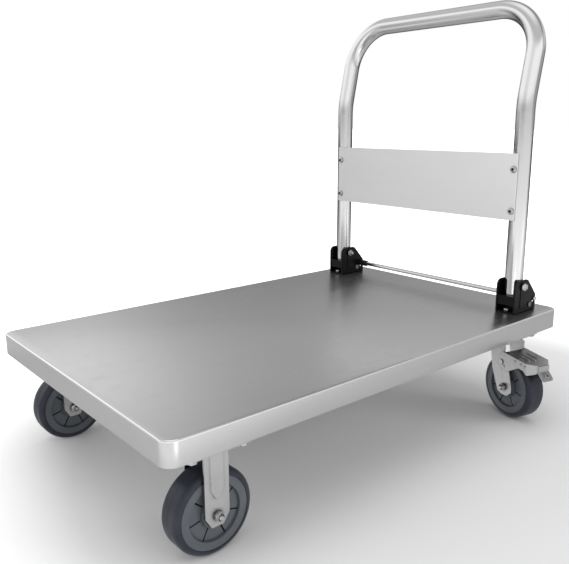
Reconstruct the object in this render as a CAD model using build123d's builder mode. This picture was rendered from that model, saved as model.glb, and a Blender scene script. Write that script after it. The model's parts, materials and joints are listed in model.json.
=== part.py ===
from build123d import *
import math
import os

# A flatbed platform truck: a folded sheet tray on two cross channels, two rigid casters in front,
# two braked swivel casters behind, and a bent tube handle that folds down over the deck.
# +X is forward, away from the handle, +Y is left, +Z is up. The floor is z = 0, under the deck's centre.
# All sizes are in millimetres.

# Deck tray
deck_length = 900.0
deck_width = 570.0
deck_top = 206.0
skirt_depth = 36.5
tray_sheet = 1.5
corner_radius = 20.0
fold_radius = 3.0
hem_width = 12.0

# Channels under the deck
channel_sheet = 2.0
cross_channel_width = 120.0
cross_channel_flange = 20.0
stiffener_y = 110.0
stiffener_width = 60.0
stiffener_height = 30.0
stiffener_flange = 15.0
channel_gap = 0.5
bend_radius = 3.0

# Casters
front_caster_x = 359.0
rear_caster_x = -355.0
caster_y = 230.0
caster_height = 163.0
swivel_trail = 30.0
swivel_angle = 75.0
plate_length = 105.0
plate_width = 80.0
plate_thickness = 4.0
plate_corner = 8.0
plate_bolt_x = 80.0
plate_bolt_y = 60.0

# Wheels
wheel_diameter = 125.0
tyre_width = 40.0
tyre_shoulder = 9.0
hub_radius = 52.5
hub_rim_width = 39.0
hub_ring_inner = 41.0
hub_face_depth = 4.0
hub_boss_radius = 20.0
hub_boss_width = 43.2
hub_web = 3.0
hub_slits = 7
slit_width = 2.2
bearing_radius = 14.0
bearing_width = 8.0
sleeve_radius = 6.0

# Caster forks
fork_sheet = 3.0
fork_gap = 45.2
fork_width = 39.0
leg_drop = 16.0
leg_toe = 19.0
rib_width = 21.0
rib_height = 2.0
rib_draft = 25.0
rib_shoulder_rise = 38.0
rib_tip_rise = 25.5
rib_end_gap = 6.0
race_radius = 30.0
race_thickness = 4.0
race_gap = 0.3
kingpin_radius = 6.0

# Brake
pedal_sheet = 2.0
pedal_clearance = 0.3
pedal_pivot_s = 22.0
pedal_pivot_z = 112.0
pedal_end_s = 101.0
pedal_mouth_s = 28.0
pedal_mouth_z = 133.0
pedal_end_z = 126.5
pedal_corner = 14.9
tab_width = 26.0
tab_sheet = 2.5
brake_pin_radius = 3.0
brake_pin_head_radius = 5.0
brake_pin_head = 1.5
shoe_width = 26.0
shoe_arc_radius = 74.0

# Handle
tube_diameter = 34.0
tube_wall = 1.5
handle_x = -363.0
handle_y = 234.3
tube_end_z = 236.0
lean_height = 175.3
lean_angle = 12.2
bar_z = 781.0
kink_radius = 60.0
corner_bend_radius = 90.0
panel_drop = 93.0
panel_height = 126.2
panel_sheet = 1.2
panel_wrap_angle = 9.0
panel_return = 7.0
panel_return_end = 22.0
panel_screw_inset = 5.8
panel_screw_rises = (17.8, 96.7)
screw_head_radius = 6.3
screw_head_height = 3.4
screw_socket = 4.0
screw_shank_radius = 3.0
skin_gap = 0.1

# Hinge brackets
bracket_sheet = 3.0
ear_side_gap = 0.5
bracket_front_x = -337.0
bracket_rear_x = -412.0
ear_top_z = 271.0
ear_shoulder_x = -380.0
ear_shoulder_z = 236.0
pivot_z = 258.5
pad_height = 1.0
stop_bar_front_x = -338.0
stop_bar_bottom = 222.0
stop_bar_top = 240.5
stop_gap = 0.3
base_bolt_x = (-347.0, -401.0)

# Release rod and its latch hooks
rod_radius = 4.5
rod_x = -402.0
rod_z = 229.0
rod_overhang = 5.0
pin_x = -388.0
pin_z = 219.5
pin_radius = 4.0
latch_travel = 18.0
slot_clearance = 0.5
hook_width = 20.0
boss_wall = 3.0
rod_ring_wall = 2.5
nose_x = -385.5
nose_z = 240.0
collar_radius = 7.0
collar_length = 20.0
spring_wire = 1.2
spring_turns = 3

# Fasteners
m8_radius = 4.0
m8_hole_radius = 4.5
m8_flats = 13.0
m8_head = 5.3
m8_nut = 6.5
m8_thread_out = 2.5
lock_nut = 8.0
head_chamfer = 0.6
running_gap = 0.05
kingpin_flats = 18.0
kingpin_nut = 7.7

# Derived places
skirt_bottom = deck_top - skirt_depth
deck_under = deck_top - tray_sheet
plate_bottom = caster_height - plate_thickness
wheel_radius = wheel_diameter / 2
axle_z = wheel_radius
fork_half_gap = fork_gap / 2
fork_half = fork_half_gap + fork_sheet
crown_top = plate_bottom - race_gap - 2 * race_thickness
tube_radius = tube_diameter / 2
lean_start_z = bar_z - lean_height
panel_top = lean_start_z - panel_drop
panel_bottom = panel_top - panel_height
ear_inner = tube_radius + ear_side_gap
ear_outer = ear_inner + bracket_sheet
base_top = deck_top + bracket_sheet
pedal_half = fork_half + pedal_clearance + pedal_sheet
sides = {"left": 1, "right": -1}


def caster_frame(x, side, angle):
    """Plane on the floor under a caster, its x axis along the trail at the given angle from +X."""
    trail = (math.cos(math.radians(angle)), math.sin(math.radians(angle)), 0)
    return Plane(origin=(x, side * caster_y, 0), x_dir=trail, z_dir=(0, 0, 1))


def level_plane(frame, height):
    """Horizontal plane of a caster frame at a height."""
    return Plane(origin=frame.from_local_coords(Vector(0, 0, height)), x_dir=frame.x_dir, z_dir=(0, 0, 1))


def side_plane(frame, offset):
    """Upright plane beside the wheel: sketch x along the trail, sketch y up, normal along the axle."""
    origin = frame.from_local_coords(Vector(0, -offset, 0))
    return Plane(origin=origin, x_dir=frame.x_dir, z_dir=-frame.y_dir)


def axle_plane(frame, trail):
    """Upright plane through the axle: sketch x along the axle, sketch y up from the wheel's centre."""
    centre = frame.from_local_coords(Vector(trail, 0, axle_z))
    return Plane(origin=centre, x_dir=-frame.y_dir, z_dir=-frame.x_dir)


def axle_axis(frame, trail):
    """The wheel's axis."""
    plane = axle_plane(frame, trail)
    return Axis(plane.origin, plane.x_dir)


front_frames = {name: caster_frame(front_caster_x, side, 0) for name, side in sides.items()}
rear_frames = {name: caster_frame(rear_caster_x, side, side * swivel_angle) for name, side in sides.items()}
plate_centres = [(x, side * caster_y) for x in (front_caster_x, rear_caster_x) for side in sides.values()]


def save(builder, label):
    """Label a finished piece and write it as a STEP file."""
    builder.part.label = label
    export_step(builder.part, f"parts/{label}.step")


def plate_bolt_points(centres):
    """Bolt places of the caster plates on the given centres."""
    half_x, half_y = plate_bolt_x / 2, plate_bolt_y / 2
    return [(x + i * half_x, y + j * half_y) for x, y in centres for i in (-1, 1) for j in (-1, 1)]


def base_bolt_points(side):
    """Bolt places of one hinge bracket."""
    return [(x, side * handle_y) for x in base_bolt_x]


def hat_section(centre, top, width, height, flange):
    """Draw a hat channel's section, open at the top, in the current sketch."""
    with Locations((centre, top)):
        Rectangle(width + 2 * flange, channel_sheet, align=(Align.CENTER, Align.MAX))
        Rectangle(width, height, align=(Align.CENTER, Align.MAX))
        Rectangle(width - 2 * channel_sheet, height - channel_sheet, align=(Align.CENTER, Align.MAX),
                  mode=Mode.SUBTRACT)


def make_deck_tray():
    """Top sheet with folded skirts and a hem turned inward all round."""
    with BuildPart() as tray:
        with BuildSketch(Plane.XY.offset(skirt_bottom)):
            RectangleRounded(deck_length, deck_width, corner_radius)
        extrude(amount=skirt_depth)
        fillet(tray.edges().group_by(Axis.Z)[-1], fold_radius)
        with BuildSketch(Plane.XY.offset(skirt_bottom)):
            RectangleRounded(deck_length - 2 * tray_sheet, deck_width - 2 * tray_sheet,
                             corner_radius - tray_sheet)
        extrude(amount=skirt_depth - tray_sheet, mode=Mode.SUBTRACT)
        with BuildSketch(Plane.XY.offset(skirt_bottom)):
            RectangleRounded(deck_length - tray_sheet, deck_width - tray_sheet, corner_radius - tray_sheet / 2)
            RectangleRounded(deck_length - 2 * hem_width, deck_width - 2 * hem_width,
                             corner_radius - hem_width, mode=Mode.SUBTRACT)
        extrude(amount=tray_sheet)
        with BuildSketch(Plane.XY.offset(deck_top)):
            with Locations(*base_bolt_points(1), *base_bolt_points(-1)):
                Circle(m8_hole_radius)
        extrude(amount=-2 * tray_sheet, mode=Mode.SUBTRACT)
    save(tray, "deck_tray")


def make_cross_channel(centre_x, label):
    """Hat channel across the deck that carries one pair of casters."""
    height = deck_under - caster_height
    length = deck_width - 2 * hem_width - 2 * channel_gap
    centres = [(centre_x, caster_y), (centre_x, -caster_y)]
    with BuildPart() as channel:
        with BuildSketch(Plane.XZ):
            hat_section(centre_x, deck_under, cross_channel_width, height, cross_channel_flange)
        extrude(amount=length / 2, both=True)
        fillet(channel.edges().filter_by(Axis.Y).group_by(Axis.Z)[0], bend_radius)
        with BuildSketch(Plane.XY.offset(caster_height)):
            with Locations(*plate_bolt_points(centres)):
                Circle(m8_hole_radius)
        extrude(amount=channel_sheet, mode=Mode.SUBTRACT)
    save(channel, label)


def make_side_stiffeners():
    """Two long hat channels between the cross channels."""
    rear = rear_caster_x + cross_channel_width / 2 + cross_channel_flange + channel_gap
    front = front_caster_x - cross_channel_width / 2 - cross_channel_flange - channel_gap
    with BuildPart() as stiffeners:
        with BuildSketch(Plane.YZ.offset(rear)):
            for y in (-stiffener_y, stiffener_y):
                hat_section(y, deck_under, stiffener_width, stiffener_height, stiffener_flange)
        extrude(amount=front - rear)
        fillet(stiffeners.edges().filter_by(Axis.X).group_by(Axis.Z)[0], bend_radius)
    save(stiffeners, "side_stiffeners")


def make_rigid_top_plates():
    """Plates that carry the two rigid forks."""
    centres = plate_centres[:2]
    with BuildPart() as plates:
        with BuildSketch(Plane.XY.offset(plate_bottom)):
            with Locations(*centres):
                RectangleRounded(plate_length, plate_width, plate_corner)
            with Locations(*plate_bolt_points(centres)):
                Circle(m8_hole_radius, mode=Mode.SUBTRACT)
        extrude(amount=plate_thickness)
    save(plates, "rigid_top_plates")


def make_swivel_top_plates():
    """Plates of the swivel casters, each with its upper ball race pressed on below."""
    centres = plate_centres[2:]
    with BuildPart() as plates:
        with BuildSketch(Plane.XY.offset(plate_bottom)):
            with Locations(*centres):
                RectangleRounded(plate_length, plate_width, plate_corner)
            with Locations(*plate_bolt_points(centres)):
                Circle(m8_hole_radius, mode=Mode.SUBTRACT)
        extrude(amount=plate_thickness)
        with BuildSketch(Plane.XY.offset(plate_bottom - race_thickness)):
            with Locations(*centres):
                Circle(race_radius)
        extrude(amount=race_thickness)
        rims = plates.edges().filter_by(GeomType.CIRCLE).group_by(Axis.Z)[0]
        fillet(rims, race_thickness / 2)
        with BuildSketch(Plane.XY.offset(caster_height)):
            with Locations(*centres):
                Circle(kingpin_radius + running_gap)
        extrude(amount=-plate_thickness - race_thickness, mode=Mode.SUBTRACT)
    save(plates, "swivel_top_plates")


def make_kingpins():
    """Swivel bolts: each hangs from its plate and holds the fork's crown on the race."""
    nut_top = crown_top - fork_sheet - race_gap
    centres = plate_centres[2:]
    with BuildPart() as pins:
        with BuildSketch(Plane.XY.offset(nut_top - kingpin_nut)):
            with Locations(*centres):
                RegularPolygon(kingpin_flats / 2, 6, major_radius=False)
        extrude(amount=kingpin_nut)
        chamfer(pins.edges().group_by(Axis.Z)[0], head_chamfer)
        with BuildSketch(Plane.XY.offset(nut_top)):
            with Locations(*centres):
                Circle(kingpin_radius)
        extrude(amount=caster_height - nut_top)
    save(pins, "kingpins")


def make_caster_bolts():
    """Hex bolts up through each caster plate and channel, with their nuts above."""
    points = plate_bolt_points(plate_centres)
    nut_bottom = caster_height + channel_sheet
    with BuildPart() as bolts:
        with BuildSketch(Plane.XY.offset(plate_bottom - m8_head)):
            with Locations(*points):
                RegularPolygon(m8_flats / 2, 6, major_radius=False)
        extrude(amount=m8_head)
        chamfer(bolts.edges().group_by(Axis.Z)[0], head_chamfer)
        with BuildSketch(Plane.XY.offset(plate_bottom)):
            with Locations(*points):
                Circle(m8_radius)
        extrude(amount=nut_bottom + m8_nut + m8_thread_out - plate_bottom)
    save(bolts, "caster_bolts")
    with BuildPart() as nuts:
        with BuildSketch(Plane.XY.offset(nut_bottom)):
            with Locations(*points):
                RegularPolygon(m8_flats / 2, 6, major_radius=False)
            with Locations(*points):
                Circle(m8_radius + running_gap, mode=Mode.SUBTRACT)
        extrude(amount=m8_nut)
    save(nuts, "caster_nuts")


def make_rigid_fork(frame, label):
    """Pressed U fork of a rigid caster, with a rib down each leg and a chamfered toe."""
    toe_z = axle_z - leg_drop
    top_z = plate_bottom
    half = fork_width / 2
    rib_top, rib_shoulder, rib_tip = top_z - rib_end_gap, axle_z + rib_shoulder_rise, axle_z + rib_tip_rise
    with BuildPart() as fork:
        with BuildSketch(side_plane(frame, 0)):
            with BuildLine():
                Polyline((-half, top_z), (half, top_z), (half, axle_z), (leg_toe / 2, toe_z),
                         (-leg_toe / 2, toe_z), (-half, axle_z), close=True)
            make_face()
        extrude(amount=fork_half, both=True)
        with BuildSketch(side_plane(frame, 0)):
            with Locations((0, top_z - fork_sheet)):
                Rectangle(2 * fork_width, 2 * top_z, align=(Align.CENTER, Align.MAX))
        extrude(amount=fork_half_gap, both=True, mode=Mode.SUBTRACT)
        bends = fork.edges().filter_by(Axis.X).group_by(Axis.Z)
        fillet(bends[-1], fork_sheet + 2)
        for offset in (fork_half, -fork_half):
            with BuildSketch(side_plane(frame, offset)):
                with BuildLine():
                    Polyline((-rib_width / 2, rib_top), (rib_width / 2, rib_top), (rib_width / 2, rib_shoulder),
                             (rib_width / 5, rib_tip), (-rib_width / 5, rib_tip),
                             (-rib_width / 2, rib_shoulder), close=True)
                make_face()
            extrude(amount=math.copysign(rib_height, offset), taper=rib_draft)
        with BuildSketch(side_plane(frame, -2 * fork_half)):
            with Locations((0, axle_z)):
                Circle(m8_radius + running_gap)
        extrude(amount=4 * fork_half, mode=Mode.SUBTRACT)
    save(fork, label)


def make_axle_fasteners(frames, trail, nut_side, bolt_label, nut_label):
    """Axle bolts and their lock nuts, with the nuts on the given side of each wheel."""
    bolts_and_nuts = []
    for outward, nut in ((-nut_side, False), (nut_side, True)):
        face = outward * fork_half
        with BuildPart() as fasteners:
            for frame in frames:
                with BuildSketch(side_plane(frame, face)):
                    with Locations((trail, axle_z)):
                        RegularPolygon(m8_flats / 2, 6, major_radius=False)
                        if nut:
                            Circle(m8_radius + running_gap, mode=Mode.SUBTRACT)
                extrude(amount=outward * (lock_nut if nut else m8_head))
                if not nut:
                    with BuildSketch(side_plane(frame, face)):
                        with Locations((trail, axle_z)):
                            Circle(m8_radius)
                    extrude(amount=-outward * (2 * fork_half + lock_nut + m8_thread_out))
        bolts_and_nuts.append(fasteners)
    if nut_label is None:
        with BuildPart() as both:
            for fasteners in bolts_and_nuts:
                add(fasteners.part)
        save(both, bolt_label)
    else:
        save(bolts_and_nuts[0], bolt_label)
        save(bolts_and_nuts[1], nut_label)


def make_axle_sleeves(frames, trail, label):
    """Spacer sleeves that the bearings run on, clamped between the fork's legs."""
    with BuildPart() as sleeves:
        for frame in frames:
            with BuildSketch(side_plane(frame, 0)):
                with Locations((trail, axle_z)):
                    Circle(sleeve_radius)
                    Circle(m8_radius + 2 * running_gap, mode=Mode.SUBTRACT)
            extrude(amount=fork_half_gap, both=True)
    save(sleeves, label)


def make_tyre(frame, trail, label):
    """Moulded polyurethane tyre with round shoulders."""
    thickness = wheel_radius - hub_radius
    with BuildPart() as tyre:
        with BuildSketch(axle_plane(frame, trail)) as section:
            with Locations((0, hub_radius + running_gap)):
                Rectangle(tyre_width, thickness - running_gap, align=(Align.CENTER, Align.MIN))
            fillet(section.vertices().group_by(Axis.Y)[-1], tyre_shoulder)
        revolve(axis=axle_axis(frame, trail))
    save(tyre, label)


def make_hub(frame, trail, label):
    """Moulded hub: rim ring, sunk side faces with slits, ribs between them and a bearing boss."""
    face = hub_rim_width / 2 - hub_face_depth
    core_inner, core_outer = hub_boss_radius + hub_web, hub_ring_inner - 1
    slit_inner, slit_outer = hub_boss_radius + 2, hub_ring_inner
    with BuildPart() as hub:
        with BuildSketch(axle_plane(frame, trail)):
            with BuildLine():
                Polyline((-hub_boss_width / 2, bearing_radius + running_gap),
                         (hub_boss_width / 2, bearing_radius + running_gap),
                         (hub_boss_width / 2, hub_boss_radius), (face, hub_boss_radius + 1),
                         (face, hub_ring_inner - 1), (hub_rim_width / 2, hub_ring_inner),
                         (hub_rim_width / 2, hub_radius), (-hub_rim_width / 2, hub_radius),
                         (-hub_rim_width / 2, hub_ring_inner), (-face, hub_ring_inner - 1),
                         (-face, hub_boss_radius + 1), (-hub_boss_width / 2, hub_boss_radius), close=True)
            make_face()
            with Locations((0, core_inner)):
                Rectangle(2 * (face - hub_web), core_outer - core_inner, align=(Align.CENTER, Align.MIN),
                          mode=Mode.SUBTRACT)
        revolve(axis=axle_axis(frame, trail))
        with BuildSketch(side_plane(frame, 0)):
            with Locations((trail, axle_z)):
                with PolarLocations((core_inner + core_outer) / 2, hub_slits, start_angle=14):
                    Rectangle(core_outer - core_inner + 2, hub_web)
        extrude(amount=face - hub_web / 2, both=True)
        for offset in (face - hub_web - 1, -face - 1):
            with BuildSketch(side_plane(frame, offset)):
                with Locations((trail, axle_z)):
                    with PolarLocations((slit_inner + slit_outer) / 2, hub_slits, start_angle=39.5):
                        Rectangle(slit_outer - slit_inner, slit_width)
            extrude(amount=hub_web + 2, mode=Mode.SUBTRACT)
    save(hub, label)


def make_bearings(frame, trail, label):
    """Two ball bearings, one at each end of the hub's boss."""
    inner = hub_boss_width / 2 - bearing_width
    with BuildPart() as bearings:
        for start in (inner, -inner - bearing_width):
            with BuildSketch(side_plane(frame, start)):
                with Locations((trail, axle_z)):
                    Circle(bearing_radius)
                    Circle(sleeve_radius + running_gap, mode=Mode.SUBTRACT)
            extrude(amount=bearing_width)
    save(bearings, label)


def make_swivel_fork(frame, label):
    """Swivel fork: a crown under the race and two legs that rake back to the axle."""
    under = crown_top - fork_sheet
    axle_s = swivel_trail
    toe_z = axle_z - leg_drop
    with BuildPart() as fork:
        with BuildSketch(side_plane(frame, 0)) as profile:
            with BuildLine():
                Polyline((-race_radius, crown_top), (-race_radius, crown_top - 8), (-12, crown_top - 14),
                         (-4.5, axle_z + 31), (axle_s - fork_width / 2 - 1.5, axle_z),
                         (axle_s - fork_width / 2 + 4, axle_z - 12), (axle_s - 5, toe_z),
                         (axle_s + 9, toe_z), (axle_s + fork_width / 2 + 1, axle_z - 6),
                         (axle_s + fork_width / 2 + 1, axle_z + 2), (axle_s + 11.5, axle_z + 36),
                         (26, axle_z + 49), (26, crown_top), close=True)
            make_face()
            fillet(profile.vertices().filter_by(lambda v: v.Y < crown_top - 1), 1.5)
        extrude(amount=fork_half, both=True)
        with BuildSketch(side_plane(frame, 0)):
            with Locations((0, under)):
                Rectangle(4 * race_radius, 2 * under, align=(Align.CENTER, Align.MAX))
        extrude(amount=fork_half_gap, both=True, mode=Mode.SUBTRACT)
        crown_edges = fork.edges().filter_by(Axis((0, 0, 0), frame.x_dir)).group_by(Axis.Z)[-1]
        fillet(crown_edges, fork_sheet + 2)
        for offset in (fork_half, -fork_half):
            with BuildSketch(side_plane(frame, offset)) as pad:
                with BuildLine():
                    Polyline((4, crown_top - 12), (20, crown_top - 12), (20, axle_z + 48),
                             (axle_s - 4, axle_z + 14), (axle_s - 13, axle_z + 14), (6.5, axle_z + 30),
                             close=True)
                make_face()
                fillet(pad.vertices(), 2)
            extrude(amount=math.copysign(pedal_clearance / 2, offset))
        with BuildSketch(side_plane(frame, -2 * fork_half)):
            with Locations((axle_s, axle_z)):
                Circle(m8_radius + running_gap)
            with Locations((pedal_pivot_s, pedal_pivot_z)):
                Circle(brake_pin_radius + running_gap)
        extrude(amount=4 * fork_half, mode=Mode.SUBTRACT)
        with BuildSketch(level_plane(frame, under - 1)):
            Circle(kingpin_radius + running_gap)
        extrude(amount=fork_sheet + 2, mode=Mode.SUBTRACT)
    save(fork, label)


def make_lower_race(frame, label):
    """Lower ball race with its dust skirt, seated on the fork's crown."""
    with BuildPart() as race:
        with BuildSketch(level_plane(frame, crown_top)):
            Circle(race_radius)
            Circle(2 * kingpin_radius, mode=Mode.SUBTRACT)
        extrude(amount=race_thickness)
        fillet(race.edges().group_by(Axis.Z)[-1].sort_by(SortBy.LENGTH)[-1], race_thickness / 2)
    save(race, label)


def make_brake_pin(frame, label):
    """Two stub rivets that the pedal turns on, headed inside the legs and outside the cheeks."""
    reach = pedal_half + pedal_clearance
    with BuildPart() as pin:
        for outward in (1, -1):
            for start, radius, depth in ((fork_half_gap, brake_pin_head_radius, -brake_pin_head / 2),
                                         (fork_half_gap, brake_pin_radius, reach - fork_half_gap),
                                         (reach, brake_pin_head_radius, brake_pin_head)):
                with BuildSketch(side_plane(frame, outward * start)):
                    with Locations((pedal_pivot_s, pedal_pivot_z)):
                        Circle(radius)
                extrude(amount=outward * depth)
    save(pin, label)


def pedal_block(frame, outline, half, end, corner, round_over):
    """Press a side outline across the pedal and trim its outer corners in plan."""
    with BuildPart() as block:
        with BuildSketch(side_plane(frame, 0)) as profile:
            with BuildLine():
                Polyline(*outline, close=True)
            make_face()
            if round_over:
                fillet(profile.vertices(), round_over)
        extrude(amount=half, both=True)
        with BuildSketch(level_plane(frame, 0)):
            with BuildLine():
                Polyline((0, -half), (end - corner, -half), (end, corner - half), (end, half - corner),
                         (end - corner, half), (0, half), close=True)
            make_face()
        extrude(amount=2 * crown_top, mode=Mode.INTERSECT)
    return block.part


def make_brake_pedal(frame, label):
    """Pressed pedal: a flat top between two cheeks, closed at its outer end."""
    top_rear, top_front = pedal_mouth_z, pedal_end_z
    end = pedal_end_s
    outline = [(pedal_mouth_s, top_rear), (end, top_front), (end, axle_z + 49), (end - 5, axle_z + 46),
               (end - 13, axle_z + 42.5), (end - 21, axle_z + 49.5), (end - 34, axle_z + 51),
               (41.4, axle_z + 36), (30, axle_z + 35.5), (14, axle_z + 41.5), (14, axle_z + 57),
               (24, top_rear)]
    cavity = [(pedal_mouth_s, top_rear - pedal_sheet), (end, top_front - pedal_sheet), (end, 0), (0, 0),
              (0, crown_top), (pedal_mouth_s, crown_top)]
    inner_corner = pedal_corner - (2 - math.sqrt(2)) * pedal_sheet
    outer_block = pedal_block(frame, outline, pedal_half, end, pedal_corner, 1.5)
    inner_block = pedal_block(frame, cavity, pedal_half - pedal_sheet, end - pedal_sheet, inner_corner, 0)
    with BuildPart() as pedal:
        add(outer_block)
        add(inner_block, mode=Mode.SUBTRACT)
        with BuildSketch(side_plane(frame, -2 * fork_half)):
            with Locations((pedal_pivot_s, pedal_pivot_z)):
                Circle(brake_pin_radius + running_gap)
        extrude(amount=4 * fork_half, mode=Mode.SUBTRACT)
    save(pedal, label)


def make_pedal_tab(frame, label):
    """Bent toe tab on the pedal's end, sloping down and out."""
    end = pedal_end_s
    lip_top, knee = axle_z + 63, axle_z + 50.5
    slope = 13.5
    with BuildPart() as tab:
        with BuildSketch(side_plane(frame, 0)):
            with BuildLine():
                Polyline((end, lip_top), (end + tab_sheet, lip_top), (end + tab_sheet, knee + 1),
                         (end + tab_sheet + slope, knee + 1 - slope), (end + slope + 0.7, knee - slope - 0.7),
                         (end, knee), close=True)
            make_face()
        extrude(amount=tab_width / 2, both=True)
        tip = tab.edges().filter_by(lambda e: e.length < 1.5 * tab_sheet).sort_by(Axis.Z)[:2]
        fillet(tip, 5)
    save(tab, label)


def make_brake_shoe(frame, label):
    """Block under the pedal whose hollow face comes down over the tread."""
    end = pedal_end_s
    inner, outer = end - 21, end - pedal_sheet - 1
    slope = (pedal_mouth_z - pedal_end_z) / (end - pedal_mouth_s)
    top_at_inner = pedal_mouth_z - pedal_sheet - slope * (inner - pedal_mouth_s)
    top_at_outer = pedal_mouth_z - pedal_sheet - slope * (outer - pedal_mouth_s)
    with BuildPart() as shoe:
        with BuildSketch(side_plane(frame, 0)):
            with BuildLine():
                Polyline((inner, top_at_inner), (outer, top_at_outer), (outer, axle_z + 40),
                         (inner, axle_z + 40), close=True)
            make_face()
            with Locations((swivel_trail, axle_z)):
                Circle(shoe_arc_radius, mode=Mode.SUBTRACT)
        extrude(amount=shoe_width / 2, both=True)
    save(shoe, label)


def make_handle_tube():
    """Bent tube: upright legs, a slight backward lean above the kink and a bar across the top."""
    lean = (bar_z - lean_start_z) * math.tan(math.radians(lean_angle))
    y = handle_y
    with BuildPart() as tube:
        with BuildLine():
            FilletPolyline((handle_x, y, tube_end_z), (handle_x, y, lean_start_z), (handle_x - lean, y, bar_z),
                           (handle_x - lean, -y, bar_z), (handle_x, -y, lean_start_z),
                           (handle_x, -y, tube_end_z),
                           radius=[kink_radius, corner_bend_radius, corner_bend_radius, kink_radius])
        with BuildSketch(Plane.XY.offset(tube_end_z)):
            with Locations((handle_x, y)):
                Circle(tube_radius)
                Circle(tube_radius - tube_wall, mode=Mode.SUBTRACT)
        sweep()
        with BuildSketch(Plane.XZ):
            with Locations((handle_x, pivot_z)):
                Circle(sleeve_radius + running_gap)
        extrude(amount=deck_width / 2, both=True, mode=Mode.SUBTRACT)
        with BuildSketch(Plane.YZ.offset(handle_x)):
            with Locations(*panel_screw_points()):
                Circle(screw_shank_radius + running_gap)
        extrude(amount=tube_diameter, mode=Mode.SUBTRACT)
    save(tube, "handle_tube")


def panel_screw_points():
    """Places of the panel's screws as (y, z)."""
    screw_y = handle_y - panel_screw_inset
    return [(side * screw_y, panel_bottom + rise) for side in sides.values() for rise in panel_screw_rises]


def make_back_panel():
    """Flat sheet between the legs, its ends rolled round the tubes and its long edges turned back."""
    inner = tube_radius + skin_gap
    front = handle_x + inner
    back_reach = handle_y - panel_return_end
    wrap = math.radians(panel_wrap_angle)
    with BuildPart() as panel:
        with BuildSketch(Plane.XY.offset(panel_bottom)):
            with Locations((front, 0)):
                Rectangle(panel_sheet, 2 * handle_y, align=(Align.MIN, Align.CENTER))
            for side in sides.values():
                with BuildLine():
                    centre = Vector(handle_x, side * handle_y)
                    tip = Vector(math.cos(wrap), side * math.sin(wrap))
                    middle = Vector(math.cos(wrap / 2), side * math.sin(wrap / 2))
                    outer = inner + panel_sheet
                    start_in, start_out = centre + Vector(inner, 0), centre + Vector(outer, 0)
                    ThreePointArc(start_in, centre + middle * inner, centre + tip * inner)
                    Line(centre + tip * inner, centre + tip * outer)
                    ThreePointArc(centre + tip * outer, centre + middle * outer, start_out)
                    Line(start_out, start_in)
                make_face()
        extrude(amount=panel_top - panel_bottom)
        for z in (panel_bottom, panel_top - panel_sheet):
            with BuildSketch(Plane.XY.offset(z)):
                with Locations((front + panel_sheet / 2, 0)):
                    Rectangle(panel_return, 2 * back_reach, align=(Align.MAX, Align.CENTER))
            extrude(amount=panel_sheet)
        with BuildSketch(Plane.YZ.offset(front - panel_sheet)):
            with Locations(*panel_screw_points()):
                Circle(screw_shank_radius + running_gap)
        extrude(amount=4 * panel_sheet, mode=Mode.SUBTRACT)
    save(panel, "back_panel")


def make_panel_screws():
    """Button head screws with hex sockets that hold the panel to the tubes."""
    seat = handle_x + tube_radius + skin_gap + panel_sheet
    points = panel_screw_points()
    with BuildPart() as screws:
        with BuildSketch(Plane.YZ.offset(seat)):
            with Locations(*points):
                Circle(screw_head_radius)
        extrude(amount=screw_head_height)
        fillet(screws.edges().group_by(Axis.X)[-1], screw_head_height * 0.8)
        with BuildSketch(Plane.YZ.offset(seat)):
            with Locations(*points):
                Circle(screw_shank_radius)
        extrude(amount=-tube_radius / 2)
        with BuildSketch(Plane.YZ.offset(seat + screw_head_height)):
            with Locations(*points):
                RegularPolygon(screw_socket / 2, 6, major_radius=False)
        extrude(amount=-screw_head_height * 0.7, mode=Mode.SUBTRACT)
    save(screws, "panel_screws")


def make_pivot_sleeves():
    """Cross sleeves in the tube's ends that turn on the pivot bolts."""
    half = ear_inner - ear_side_gap / 2
    with BuildPart() as sleeves:
        for side in sides.values():
            with BuildSketch(Plane.XZ.offset(-side * handle_y)):
                with Locations((handle_x, pivot_z)):
                    Circle(sleeve_radius)
                    Circle(m8_radius + running_gap, mode=Mode.SUBTRACT)
            extrude(amount=half, both=True)
    save(sleeves, "pivot_sleeves")


def rod_position(angle):
    """Centre of the release rod after the latch has turned by an angle in degrees."""
    arm_x, arm_z = rod_x - pin_x, rod_z - pin_z
    turn = math.radians(angle)
    x = arm_x * math.cos(turn) - arm_z * math.sin(turn)
    z = arm_x * math.sin(turn) + arm_z * math.cos(turn)
    return pin_x + x, pin_z + z


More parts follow.
